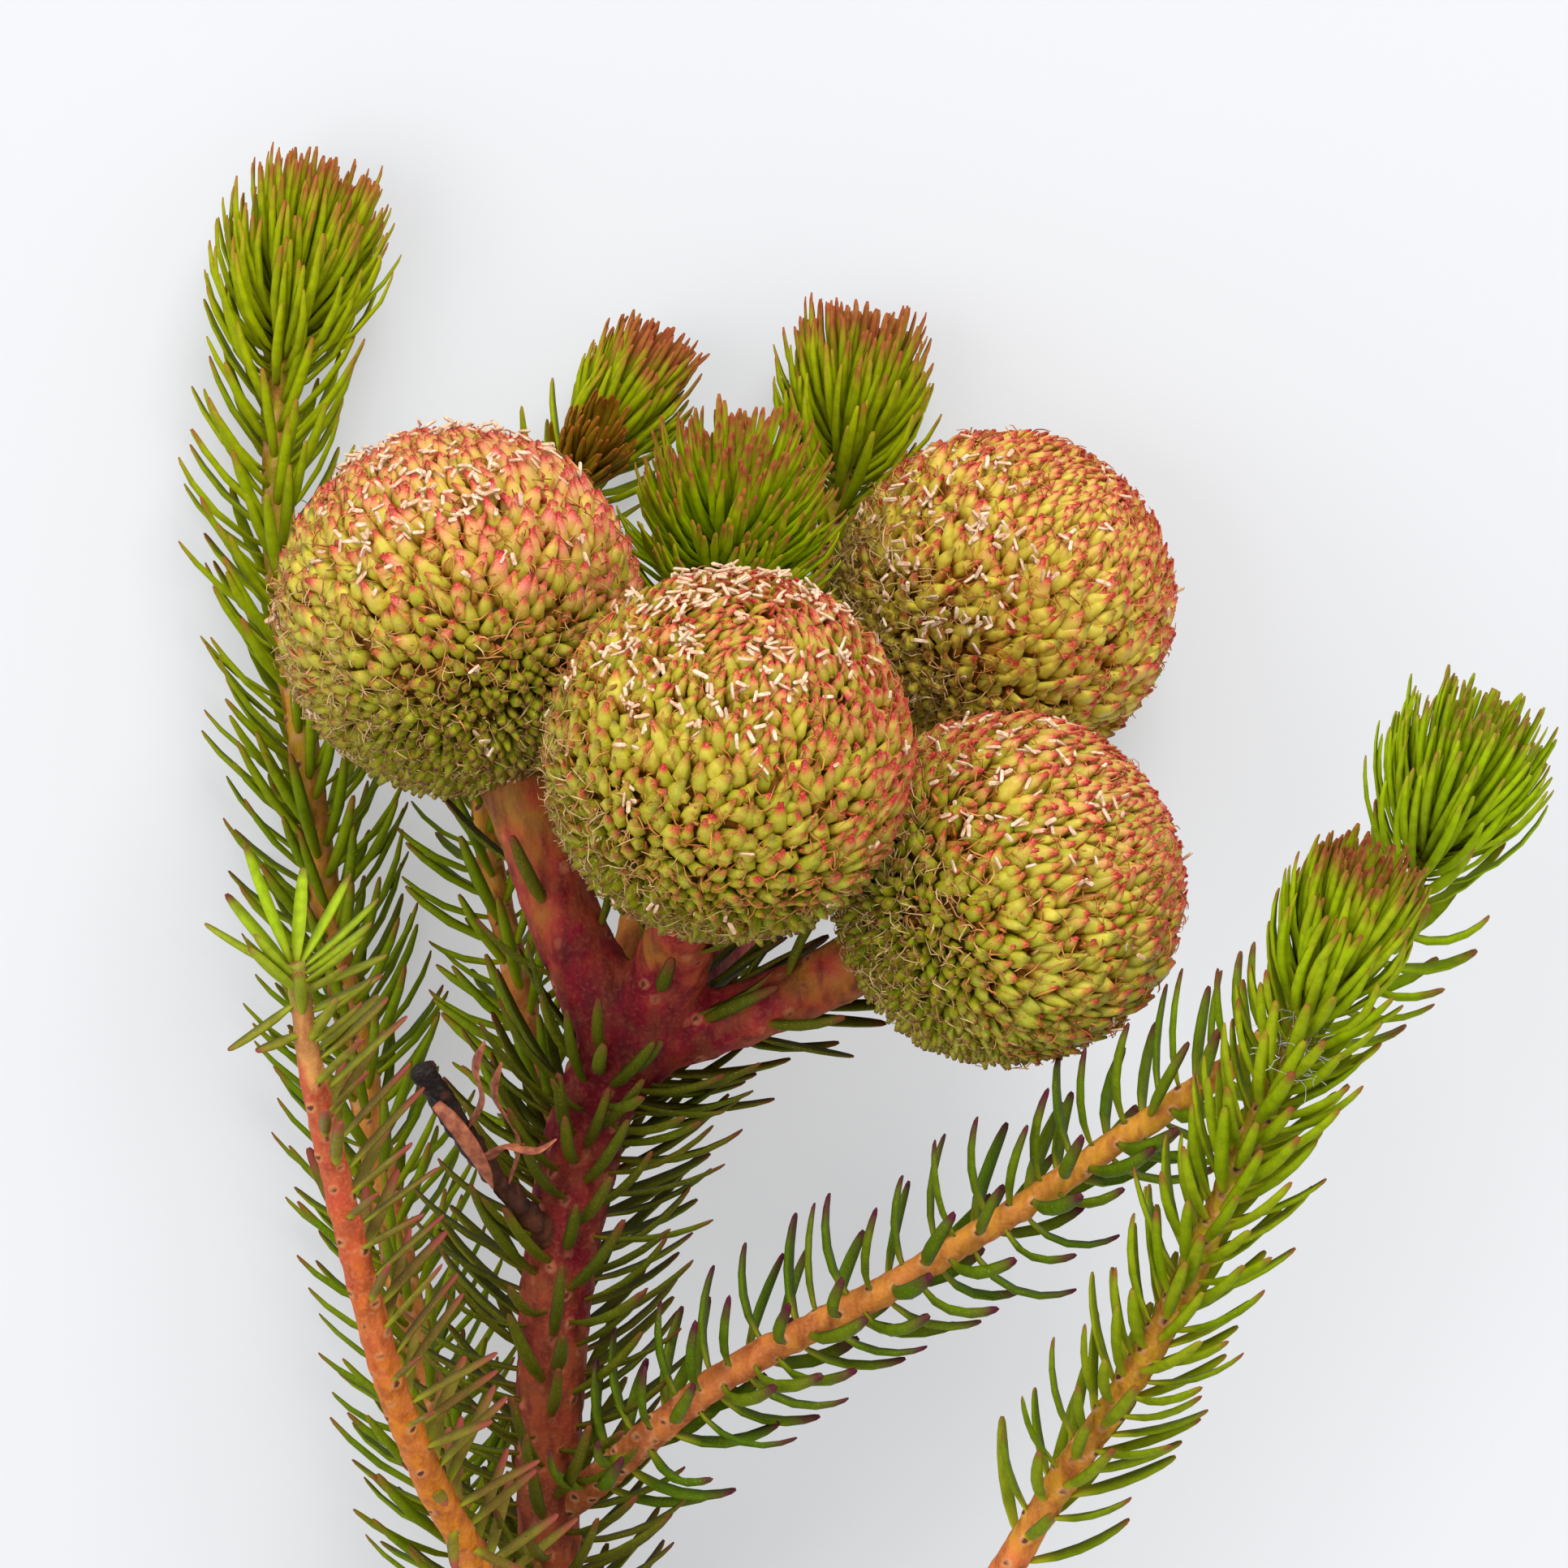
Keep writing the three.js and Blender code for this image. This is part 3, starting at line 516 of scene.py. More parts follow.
def bark_material(name, colours):
    """Young bark whose colour changes along the stem, with fine cracks, dusty grains and pale leaf scars."""
    along, blotch, crack, dust, scar = colours
    look = Look(name, roughness=0.6, specular=0.15)
    patches = look.noise(2.2, detail=2)
    streaks = look.noise(0.6, detail=4, stretch=(1, 0.3, 1))
    grains = look.noise(0.24)
    bark = look.over(
        look.ramp(look.math("ADD", "share", look.span(patches, 0.3, 0.7, -0.07, 0.07)), along),
        (blotch, look.noise(1.5, detail=4), 0.48, 0.62, 0.5),
        (crack, streaks, 0.45, 0.7, 0.7),
        (dust, grains, 0.5, 0.75, 0.35),
        (scar, "scar", 0.25, 0.7, 0.85),
        ((88, 40, 28), "pit", 0.15, 0.45, 0.95),
    )
    cut = look.mix(look.span(grains, 0.3, 0.7), (196, 166, 112), (222, 204, 158))
    rough = look.math("ADD", grains, streaks)
    return look.finish(look.mix("cut", bark, cut), rough, depth=0.1, strength=0.7)


def floret_material():
    """Plump yellow-green florets with red tips, each with a tint of its own and a dark dot at its end."""
    look = Look("florets", roughness=0.42, specular=0.28)
    mottle = look.noise(0.4)
    grains = look.noise(0.1, detail=1)
    # Partly the florets' own yellowing and partly painted light: dark green at a head's foot, light yellow
    # toward its crown.
    body = look.mix("sunny", (112, 134, 0), (210, 194, 66))
    tinted = look.mix(look.span("tint", 0, 1, -0.2, 0.85), body, (156, 160, 16))
    mottled = look.over(tinted, ((176, 130, 30), mottle, 0.43, 0.66, 0.4))
    dried = look.mix("dry", mottled, (184, 108, 44))
    # Painted shade between the florets: each darkens toward its root, and more so toward a head's foot.
    deep = look.mix("deep", dried, look.mix("sunny", (74, 66, 4), (204, 118, 30)))
    flushed = look.mix("flush", deep, look.mix("red", (200, 158, 44), (224, 100, 104)))
    knobbed = look.mix("knob", flushed, look.mix("rosy", (126, 120, 16), (190, 12, 40)))
    grained = look.over(knobbed, ((234, 208, 92), grains, 0.52, 0.72, 0.32))
    return look.finish(look.mix("dot", grained, (92, 22, 26)), mottle, strength=0.4)


def scale_material():
    """Dry scales, red where their head is and tan elsewhere, faded toward its foot."""
    look = Look("scales", roughness=0.6, specular=0.15)
    grain = look.noise(0.3)
    tan = look.mix("tint", (210, 116, 34), (196, 160, 92))
    red = look.mix("tint", (202, 58, 66), (214, 120, 84))
    faded = look.mix("faded", look.mix("red", tan, red), (152, 136, 66))
    return look.finish(look.over(faded, ((130, 70, 30), grain, 0.4, 0.7, 0.4)), grain, depth=0.04)


def thread_material():
    """Orange filaments, faded to a pale tan toward the foot of a head."""
    look = Look("filaments", roughness=0.6, specular=0.2)
    fresh = look.mix("tint", (222, 150, 76), (152, 74, 30))
    faded = look.mix("tint", (224, 192, 132), (156, 112, 60))
    return look.finish(look.mix("faded", fresh, faded), look.noise(0.25), depth=0.02)


def grained_material(name, light, dark, size):
    look = Look(name, roughness=0.6, specular=0.3)
    colour = look.mix(look.span(look.noise(size), 0.35, 0.65), dark, light)
    return look.finish(look.over(colour, (dark, "tint", 0, 1, 0.4)), look.noise(size / 2))


def placed(name, data):
    item = bpy.data.objects.new(name, data)
    bpy.context.scene.collection.objects.link(item)
    return item


def mesh_of(skin, name, points):
    corners = np.concatenate([block.ravel() for block in skin.faces])
    sizes = np.concatenate([np.full(len(block), block.shape[1]) for block in skin.faces])
    mesh = bpy.data.meshes.new(name)
    mesh.vertices.add(len(points))
    mesh.vertices.foreach_set("co", points.astype(np.float32).ravel())
    mesh.loops.add(len(corners))
    mesh.loops.foreach_set("vertex_index", corners.astype(np.int32))
    mesh.polygons.add(len(sizes))
    mesh.polygons.foreach_set("loop_start", np.r_[0, np.cumsum(sizes)[:-1]].astype(np.int32))
    mesh.update(calc_edges=True)
    return mesh


def add_piece(skin, name, material, replaced=()):
    """Adds a smooth mesh of a skin, in the row frame. It rides on the stem, in place of what it replaces."""
    mesh = mesh_of(skin, name, row(skin.points))
    mesh.shade_smooth()
    for mark, values in skin.marks.items():
        layer = mesh.attributes.new(mark, "FLOAT", "POINT")
        layer.data.foreach_set("value", values.astype(np.float32))
    mesh.materials.append(material)
    piece = placed(name, mesh)
    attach(piece, "root")
    if replaced:
        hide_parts(*replaced)


def kept_clear(points):
    """Points moved up onto the table, and out of the heads that they would pierce."""
    for head in HEADS:
        offset = points - head.centre
        gap = lengths(offset)[..., None]
        clear = head.radius + HEAD_CLEARANCE
        points = np.where(gap < clear, head.centre + offset / np.maximum(gap, 1) * clear, points)
    return above_table(points, NEEDLE_TABLE_GAP)


def needle_skin(stem, plan, rng, profile=FINE_NEEDLE):
    """Needles that leave their stem, bow outward and turn up again toward the light."""
    tilt, length, bow, lift, width, youth, blush = plan.T[2:, :, None]
    centre, radius, along, _, _ = stem.at(plan[:, 0])
    outward = stem.outward(*plan.T[:2])
    each = (len(plan), 1)
    stations, shares = np.array(profile)
    middles = (stations[1:] + stations[:-1]) / 2
    angle = tilt + bow * rng.uniform(0.6, 1.4, each) * (1 - 2 * middles)
    heading = turned(along[:, None], outward[:, None], angle)
    sideways = np.cross(along, outward)[:, None] * rng.normal(0, 0.13, (*each, 1))
    heading = unit(heading + sideways + LIGHTWARD * (lift * middles)[..., None])
    buried = radius[:, None] * (1 - ROOT_DEPTH) / np.maximum(0.5, np.sin(tilt))
    steps = heading * ((length + buried) * np.diff(stations))[..., None]
    root = (centre + outward * (radius * ROOT_DEPTH)[:, None])[:, None]
    spines = kept_clear(np.concatenate([root, root + np.cumsum(steps, axis=1)], axis=1))
    half = width / 2 * rng.uniform(0.85, 1.15, each)
    reddened = blush + rng.uniform(-0.05, 0.04, each)
    return grown(
        spines, (along - 0.3 * outward)[:, None], NEEDLE_OUTLINE, half * shares,
        youth=youth,
        tint=rng.random(each),
        base=1 - eased(stations, 0.02, 0.3),
        flush=eased(stations, reddened - 0.08, reddened + 0.1),
    )


def needle_plan(*columns):
    """A row for each needle: place, spin, tilt, length, bow, lift, width, youth and blush. A single number
    holds for all of them."""
    return np.stack(np.broadcast_arrays(*columns), axis=-1).astype(float)


def varied(plan, rng):
    """The same needles with uneven turns, tilts, lengths and ages."""
    plan = plan.copy()
    plan[:, 1] += rng.normal(0, 0.12, len(plan))
    plan[:, 2] *= rng.uniform(0.8, 1.2, len(plan))
    plan[:, 3] *= rng.uniform(0.84, 1.1, len(plan))
    plan[:, 7] *= rng.uniform(0.7, 1, len(plan))
    return plan


def shoot_plan(shoot, brush, stem, rng):
    """A shoot's needles: a few scattered ones, then closer ones. The first plan leaves out those that have
    fallen on its bare side."""
    leafy_from = shoot.leafy_from * stem.length
    leafy_to = shoot.leafy_to * stem.length - brush.reach * bool(brush.count)
    count = round((leafy_to - leafy_from) * shoot.density)
    run = np.linspace(0, 1, count) ** shoot.evenness
    place = leafy_from + (leafy_to - leafy_from) * run
    lower = rng.uniform(0.12, 0.97, shoot.scattered) * leafy_from
    first_tilt, last_tilt = shoot.tilt
    tilt = first_tilt + (last_tilt - first_tilt) * run
    youth = eased(place / stem.length, shoot.young_from, 1)
    form = [shoot.bow, shoot.lift, shoot.width]
    plan = varied(np.concatenate([
        needle_plan(lower, spiral(len(lower)), first_tilt, shoot.length * 0.8, *form, 0, shoot.flush),
        needle_plan(place, spiral(count), tilt, shoot.length, *form, youth, shoot.flush),
    ]), rng)
    if not shoot.bare_side:
        return plan, plan
    is_leafy = stem.outward(*plan.T[:2]) @ shoot.bare_side < 0.1
    return plan[is_leafy], plan


def brush_plan(brush, stem, rng):
    """The close needles at a shoot's tip. The inner ones turn red farther down."""
    t = (np.arange(brush.count) + 0.5) / brush.count
    place = stem.length - brush.reach + brush.reach * np.sqrt(t)
    tilt = brush.tilt * np.sqrt(1 - t) + 0.03
    # The brush has a flat top: no needle reaches farther past the shoot's tip than the innermost ones.
    top = (0.8 * brush.length + stem.length - place) / np.cos(tilt)
    length = np.minimum(top, 1.03 * brush.length)
    bow = brush.bow * np.sqrt(1 - t)
    blush = brush.flush - brush.ripeness * t**1.5
    form = [bow, brush.lift, brush.width]
    return varied(needle_plan(place, spiral(len(t)), tilt, length, *form, 1, blush), rng)


def leaf_plan(leaves, width, stem):
    """Single leaves, each one set by its own reach."""
    leaves = np.array(leaves, float)
    place = stem.length - leaves[:, 0]
    reach = leaves[:, 1:]
    _, _, along, across, beside = stem.at(place)
    tilt = np.arccos(np.clip((unit(reach) * along).sum(axis=1), -1, 1))
    spin = np.arctan2((reach * beside).sum(axis=1), (reach * across).sum(axis=1))
    upright = eased(unit(reach)[:, 1], 0.3, 0.85)
    youth = np.maximum(0, 1 - 0.17 * leaves[:, 0]) * (0.45 + 0.55 * upright)
    return needle_plan(place, spin, tilt, lengths(reach), 0.05, 0, width, youth, 0.93)


def wood_skin(stem, scars, sides=14, rough=1.0):
    """A stem with low lumps, and a small cushion with a pit at each leaf scar."""
    skin = stem.tube(sides, share=stem.share)
    return roughened(skin, np.repeat(stem.centre, sides, axis=0), scars, rough)


def roughened(skin, centres, scars, rough):
    outward = unit(skin.points - centres)
    index, gap = nearest(skin.points, scars)
    strength = 0.35 + 0.65 * np.abs(np.sin(index * 12.9898))
    scar = strength * np.exp(-(gap / SCAR_RADIUS) ** 2)
    pit = strength * np.exp(-(gap / PIT_RADIUS) ** 2)
    unevenness = 0.08 * lumps(skin.points, 1.4) + 0.05 * lumps(skin.points, 0.5)
    rise = rough * unevenness + 0.15 * scar - 0.1 * pit
    skin.points = skin.points + outward * rise[:, None]
    skin.marks.update(scar=scar, pit=pit)
    return skin.above_table()


def remeshed(skin):
    """The joined outside of overlapping skins, with softened creases."""
    joining = placed("joining", mesh_of(skin, "joining", skin.points))
    remesh = joining.modifiers.new("remesh", "REMESH")
    remesh.mode = "VOXEL"
    remesh.voxel_size = BARK_VOXEL
    smooth = joining.modifiers.new("smooth", "SMOOTH")
    smooth.factor = 0.5
    smooth.iterations = 5
    result = joining.evaluated_get(bpy.context.evaluated_depsgraph_get()).to_mesh()
    points = np.zeros(len(result.vertices) * 3, np.float32)
    result.vertices.foreach_get("co", points)
    corners = np.zeros(len(result.loops), np.int32)
    result.loops.foreach_get("vertex_index", corners)
    bpy.data.objects.remove(joining)
    return Skin(points.reshape(-1, 3).astype(float), [corners.reshape(-1, 4)])


def peduncle(head):
    end = head.centre + head.crown * (PEDUNCLE_REACH - head.radius)
    return Stem([FORK, head.shoulder, end], np.array(PEDUNCLE_RADII) * head.stalk, step=0.5)


def fork_ball():
    """The swelling where the peduncles part."""
    reach = np.array([-1, -0.86, -0.5, 0, 0.5, 0.86, 1]) * FORK_RADIUS
    belly = np.sqrt(np.maximum(FORK_RADIUS**2 - reach**2, 0.04))
    spine = FORK + reach[:, None] * LIGHTWARD
    return loft(spine, [1, 0, 0], [0, 0, -1], circle(MAIN_SIDES) * belly[:, None, None])


def main_stem():
    """The red main stem, its fork and its peduncles, grown together."""
    rng = np.random.default_rng(5)
    stem = Stem(MAIN_PATH, MAIN_RADII, step=0.5)
    stalks = [peduncle(head) for head in HEADS]
    parts = [stem, *stalks]
    skin = remeshed(merged([part.tube(MAIN_SIDES) for part in parts] + [fork_ball()]))

    run = (np.arange(MAIN_NEEDLES) / MAIN_NEEDLES) ** MAIN_THINNING
    place = stem.length * (MAIN_LEAFY[1] - (MAIN_LEAFY[1] - MAIN_LEAFY[0]) * run)
    youth = rng.random(MAIN_NEEDLES)
    plan = needle_plan(place, spiral(MAIN_NEEDLES), 1.08, 6.6, *MAIN_FORM, youth, 0.93)
    plans = [(stem, varied(plan, rng))]
    for order, stalk in enumerate(stalks):
        where = np.linspace(*PEDUNCLE_LEAFY, PEDUNCLE_NEEDLES) * stalk.length
        turn = spiral(PEDUNCLE_NEEDLES) + order
        plans.append((stalk, varied(needle_plan(where, turn, 0.6, 4.6, *MAIN_FORM, 0.3, 0.86), rng)))
    plans.append((stalks[2], leaf_plan(PEDUNCLE_LEAVES, 0.78, stalks[2])))
    needles = merged([needle_skin(part, plan, rng) for part, plan in plans])

    scars = [part.surface(*plan.T[:2]) for part, plan in plans]
    scars += [stalk.spots(PEDUNCLE_SCARS, 0.1, 0.95, turn=1) for stalk in stalks]
    scars.append(stem.spots(MAIN_SCARS, 0.02, 0.3))
    above = [FORK_SHARE + (1 - FORK_SHARE) * stalk.share for stalk in stalks]
    centres = np.concatenate([part.centre for part in parts])
    index, _ = nearest(skin.points, centres)
    skin.marks["share"] = np.concatenate([stem.share * FORK_SHARE, *above])[index]
    skin.marks["cut"] = eased((skin.points - stem.centre[0]) @ stem.along[0], 0.3, 0)
    skin = roughened(skin, centres[index], np.concatenate(scars), rough=1.4)
    bark = bark_material("red_bark", BARK_COLOURS["red"])
    add_piece(skin, "main_stem_bark", bark, ["main_stem"])
    add_piece(needles, "main_stem_needles", needle_material("main_needles", NEEDLE_COLOURS["main"]))


def side_shoot(shoot):
    """A leafy shoot's wood and needles, with a brush or single leaves at its tip. Some have a brown twig."""
    shoot = SimpleNamespace(**{**USUAL_SHOOT, **shoot})
    brush = SimpleNamespace(**{**USUAL_BRUSH, **shoot.brush})
    name = "shoot_" + shoot.name
    rng = np.random.default_rng(shoot.seed)
    step, sides, profile = (0.19, 20, FINE_NEEDLE) if shoot.fine else (0.3, 12, PLAIN_NEEDLE)
    stem = Stem(shoot.path, shoot.radii, step)
    plan, whole = shoot_plan(shoot, brush, stem, rng)
    lower = stem.spots(round(stem.length * 0.7), 0.01, shoot.leafy_from + 0.1)
    scars = np.concatenate([stem.surface(*whole.T[:2]), lower])
    tip = brush_plan(brush, stem, rng) if brush.count else leaf_plan(shoot.leaves, shoot.leaf_width, stem)
    bark = bark_material(name + "_bark", BARK_COLOURS[shoot.bark])
    add_piece(wood_skin(stem, scars, sides), name + "_wood", bark, [name])
    leaves = needle_material(name + "_needles", NEEDLE_COLOURS[shoot.colours])
    needles = needle_skin(stem, np.concatenate([plan, tip]), rng, profile)
    add_piece(needles, name + "_needles", leaves)
    if shoot.twig:
        side_twig(stem, shoot.twig, name, bark, rng)


def side_twig(stem, twig, name, bark, rng):
    start = sampled(twig["start"] * stem.length, stem.place, stem.centre)
    side = Stem([start, twig["tip"]], twig["radii"])
    t = np.arange(twig["needles"]) / twig["needles"]
    place, spin = side.length * (0.4 + 0.6 * t), spiral(len(t))
    plan = varied(needle_plan(place, spin, 0.6 - 0.42 * t, twig["length"], 0.3, 0, 0.5, t, 0.86), rng)
    brown = needle_material(name + "_brown", NEEDLE_COLOURS["brown"])
    add_piece(needle_skin(side, plan, rng, PLAIN_NEEDLE), name + "_brown_needles", brown)
    add_piece(wood_skin(side, side.surface(place, spin)), name + "_twig", bark)


def ball_sites(count, pole, crown_crowding, foot_crowding):
    """Directions in a spiral from the pole down, closer together at the pole and on the far side, with the
    directions toward the pole and sideways at each of them, and how wide apart they are."""
    grid = np.linspace(1, -1, 400)
    weight = 1 + foot_crowding * eased(-grid, -0.1, 0.85) + crown_crowding * eased(grid, 0.5, 0.95)
    filled = np.cumsum(weight) / weight.sum()
    height = np.interp((np.arange(count) + 0.5) / count, filled, grid)
    spread = np.sqrt(weight.mean() / np.interp(-height, -grid, weight))[:, None]
    reach = np.sqrt(1 - height**2)[:, None]
    side = unit(np.cross(pole, ASIDE))
    turn = spiral(count)[:, None]
    front = np.cross(pole, side)
    outward = height[:, None] * pole + np.cos(turn) * reach * side + np.sin(turn) * reach * front
    aim = pole + 0.05 * side
    poleward = unit(aim - (outward @ aim)[:, None] * outward)
    return outward, poleward, np.cross(outward, poleward), spread


def floret_skin(head, rng):
    """Plump florets that cover a head and lean over toward its crown, with a knob at the end of each."""
    centre, radius, crown = head.centre, head.radius, head.crown
    outward, poleward, sideways, spread = ball_sites(FLORETS_A_HEAD, crown, 1.1, 0.8)
    outward = unit(outward + rng.normal(0, 0.015, outward.shape))
    is_free = outward @ -crown < math.cos(PEDUNCLE_RADII[-1] / radius)
    outward, poleward, sideways, spread = (v[is_free] for v in (outward, poleward, sideways, spread))
    each = (len(outward), 1)
    height = (outward @ crown)[:, None]
    upper = eased(height, -0.75, 0.1)
    sunlit = (outward @ head.sun)[:, None] + 0.4 * eased(height, 0.5, 1)
    ripe = eased(sunlit + rng.normal(0, 0.28, each), -0.4, 0.8)
    red = head.redness * (0.12 + 0.88 * ripe) * (0.5 + 0.5 * eased(height, -0.7, 0))

    swing = rng.normal(0, 0.4, len(outward)) + 0.6 * lumps(centre + outward * radius, 6)
    leaning = turned(poleward, sideways, swing)
    lean = FLORET_LEAN * (0.3 + 0.7 * upper) * rng.uniform(0.5, 1.35, each) * spread
    top = radius + (rng.uniform(-0.3, 0.1, each) + (1 - upper) * rng.uniform(-0.1, 0.25, each))
    is_dry = rng.random(each) < DRY_FLORETS
    top[is_dry] -= 0.35
    root = centre + outward * (radius - FLORET_DEPTH) - leaning * (0.3 * upper)
    middle = centre + outward * (top - 0.2) + leaning * (0.1 * upper)
    tip = centre + outward * (top + 0.4 - 0.3 * upper) + leaning * lean

    spacing = math.sqrt(4 * math.pi * radius**2 / FLORETS_A_HEAD)
    girth = spacing * (0.54 + 0.06 * upper) * spread * rng.uniform(0.72, 1.25, each)
    girth[is_dry] *= 0.6
    wobble = 1 + rng.normal(0, 0.06, (*each, FLORET_SIDES, 1))
    flat = np.stack([1 - 0.2 * upper, 1 + 0.06 * upper], axis=-1)[:, None]
    widths = girth * (upper * CROWN_WIDTHS + (1 - upper) * FOOT_WIDTHS)
    stations = np.array(FLORET_STATIONS)
    start = 0.82 - 0.36 * red + rng.uniform(-0.1, 0.06, each)
    above_foot = 0.15 + 0.85 * eased(height, -0.6, 0)
    return grown(
        bent(FLORET_STATIONS, root, middle, tip), np.cross(outward, leaning)[:, None],
        circle(FLORET_SIDES) * flat * wobble, widths,
        # A head's pale is painted light: it takes away some of the darker tint and lightens the florets.
        tint=rng.random(each) * (1 - head.pale),
        # Partly the florets' own yellowing and partly painted light: lighter toward the crown, darker toward
        # the foot, with a head's painted pale on top.
        sunny=eased(height, -0.7, 0.4) * rng.uniform(0.5, 1, each) + head.pale,
        red=red,
        rosy=eased(ripe + rng.normal(0.25, 0.25, each), 0, 0.7) * above_foot,
        dry=is_dry * rng.uniform(0.6, 1, each),
        # Painted shade: each floret darkens toward its root, down between the others.
        deep=1 - eased(stations, -0.1, 0.5),
        flush=eased(stations, start, start + 0.4) * rng.uniform(0.3, 0.9, each),
        knob=eased(stations, 0.78, 0.92) * rng.uniform(0.7, 1, each),
        dot=eased(stations, 0.94, 1) * rng.uniform(0.4, 1, each) * (1 - 0.4 * upper),
    ).above_table()


def scale_skin(head, rng):
    """Small dry scales and tips between the florets, red on the side toward the head's sun and tan elsewhere.
    """
    outward, poleward, sideways, _ = ball_sites(SCALES_A_HEAD, unit(head.crown + [0.2, 0, 0.1]), 0.8, 0.5)
    outward = unit(outward + rng.normal(0, 0.03, outward.shape))
    each = (len(outward), 1)
    leaning = turned(poleward, sideways, rng.normal(0, 1.1, len(outward)))
    top = head.radius + rng.uniform(-0.15, 0.22, each)
    root = head.centre + outward * (top - CORE_DEPTH)
    tip = head.centre + outward * top + leaning * rng.uniform(0.1, 0.75, each)
    return grown(
        bent([0, 0.6, 1], root, root + outward * 0.75, tip), rng.normal(0, 1, (*each, 3)),
        circle(3) * np.array([1, 0.6]), rng.uniform(0.1, 0.2, each) * np.array([0.9, 0.9, 0.2]),
        tint=rng.random(each),
        red=head.redness * eased((outward @ head.sun)[:, None] + rng.normal(0, 0.4, each), -0.4, 0.8),
        faded=eased(-outward @ head.crown, 0.1, 0.8)[:, None],
    ).above_table()


def thread_skin(head, rng):
    """Thin curly filaments that wander over a head, between and above the florets."""
    centre, radius, fringe = head.centre, head.radius, head.fringe
    each = (THREADS_A_HEAD, 1)
    outward = unit(rng.normal(0, 1, (THREADS_A_HEAD, 3)) - 0.3 * head.crown + 0.45 * fringe)
    fringed = eased(outward @ fringe, 0.5, 1)[:, None]
    spin = unit(rng.normal(0, 1, outward.shape)) * rng.uniform(0.1, 0.8, each)
    step = rng.uniform(0.25, 0.65, each)
    low, high = radius - 0.25, radius + rng.uniform(0, 0.5, each) + 0.25 * fringed
    point = centre + outward * (radius + rng.uniform(-0.35, 0, each))
    heading = unit(np.cross(outward, rng.normal(0, 1, outward.shape)))
    heading = unit(heading + outward * rng.uniform(0, 0.9, each))
    spine = [point]
    for _ in range(3):
        heading = unit(heading + np.cross(spin, heading) + rng.normal(0, 0.25, heading.shape))
        away = point + heading * step - centre
        point = centre + unit(away) * np.clip(lengths(away)[:, None], low, high)
        spine.append(point)
    spines = above_table(np.stack(spine, axis=1), 0.1)
    thickness = rng.uniform(0.03, 0.056, each) * np.array([1, 1, 0.9, 0.4])
    faded = eased(rng.normal(0, 0.25, each) - (outward @ head.crown)[:, None] + fringed, 0, 0.8)
    tint = rng.random(each)
    return grown(spines, unit(spines - centre), circle(3), thickness, tint=tint, faded=faded)


def anther_skin(head, rng):
    """Small pale anthers with a groove, thickest round one side of a head."""
    count, each = head.anthers, (head.anthers, 1)
    tries = unit(rng.normal(0, 1, (count * 40, 3)))
    side = tries @ head.anther_side
    chosen = rng.random(len(tries)) < 0.02 + 0.98 * eased(side, 0.35, 1) ** 2.4
    clumps = tries[chosen][:count]
    outward = clumps[rng.integers(0, len(clumps) // 2, count)]
    outward = unit(outward + rng.normal(0, 0.035, outward.shape))
    heading = unit(np.cross(outward, rng.normal(0, 1, outward.shape)))
    heading = unit(heading + outward * rng.normal(0.15, 0.4, each))
    bend = np.cross(heading, outward) * rng.normal(0, 0.07, each)
    length = rng.uniform(0.42, 0.88, each)
    base = head.centre + outward * (head.radius + rng.uniform(0.02, 0.36, each))
    t = np.array([0, 0.12, 0.88, 1])[None, :, None]
    spines = base[:, None] + (heading * length)[:, None] * t + bend[:, None] * (4 * t * (1 - t))
    facing = unit(outward + rng.normal(0, 0.5, outward.shape))[:, None]
    girth = rng.uniform(0.09, 0.135, each) * np.array([0.5, 1, 1, 0.5])
    return grown(spines, facing, ANTHER_OUTLINE, girth, tint=rng.random(each)).above_table(0.05)


def core_skin(head, _):
    """The inside of a head, which shows between the florets."""
    rings, sides = 24, 32
    crown = head.crown
    angle = np.linspace(0.08, math.pi - 0.08, rings)
    reach = head.radius - CORE_DEPTH
    spine = head.centre - crown * (np.cos(angle) * reach)[:, None]
    side = unit(np.cross(crown, ASIDE))
    outlines = circle(sides) * (np.sin(angle) * reach)[:, None, None]
    # The tint runs from 1 at the foot to 0 at the crown and darkens the core toward the foot: painted shade.
    return loft(spine, side, np.cross(crown, side), outlines, tint=np.linspace(1, 0, rings))


def flower_heads():
    # On the core the tint is painted shade, darker toward the head's foot; elsewhere it differs at random.
    brown = grained_material("head_core", (176, 104, 26), (84, 66, 8), 0.4)
    pale = grained_material("anthers", (246, 226, 198), (208, 160, 120), 0.3)
    parts = [
        ("florets", floret_skin, floret_material(), "floret"),
        ("core", core_skin, brown, "floret"),
        ("scales", scale_skin, scale_material(), "floret"),
        ("filaments", thread_skin, thread_material(), "filament"),
        ("anthers", anther_skin, pale, "anther"),
    ]
    for head in HEADS:
        name = "head_" + head.name
        rng = np.random.default_rng(head.seed)
        for part, shape, material, slot in parts:
            replaced = [name] if part == "florets" else []
            add_piece(shape(head, rng), name + "_" + part, material, replaced)


def withered_stub():
    rng = np.random.default_rng(31)
    stem = Stem(STUB["path"], STUB["radii"], step=0.15)
    wood = wood_skin(stem, stem.spots(STUB_SCARS, 0.2, 1), sides=20, rough=3.2)
    dead = bark_material("dead_wood", BARK_COLOURS["dead"])
    add_piece(wood, "withered_stub_wood", dead, ["withered_stub"])
    strips = []
    for path in STUB["strips"]:
        strip = Stem(path, [1, 1], step=0.2)
        across = turned(strip.across, strip.beside, np.linspace(-0.3, 0.9, len(strip.place)))
        width = np.interp(strip.share, [0, 0.15, 0.45, 0.8, 1], [0.3, 0.42, 0.46, 0.34, 0.08])
        outlines = circle(8) * np.array([1, 0.26]) * width[:, None, None]
        beside = np.cross(strip.along, across)
        strips.append(loft(strip.centre, across, beside, outlines, tint=rng.uniform(0, 0.6, 1)))
    salmon = grained_material("dry_strips", (196, 118, 80), (124, 62, 42), 0.6)
    add_piece(merged(strips), "withered_stub_strips", salmon)


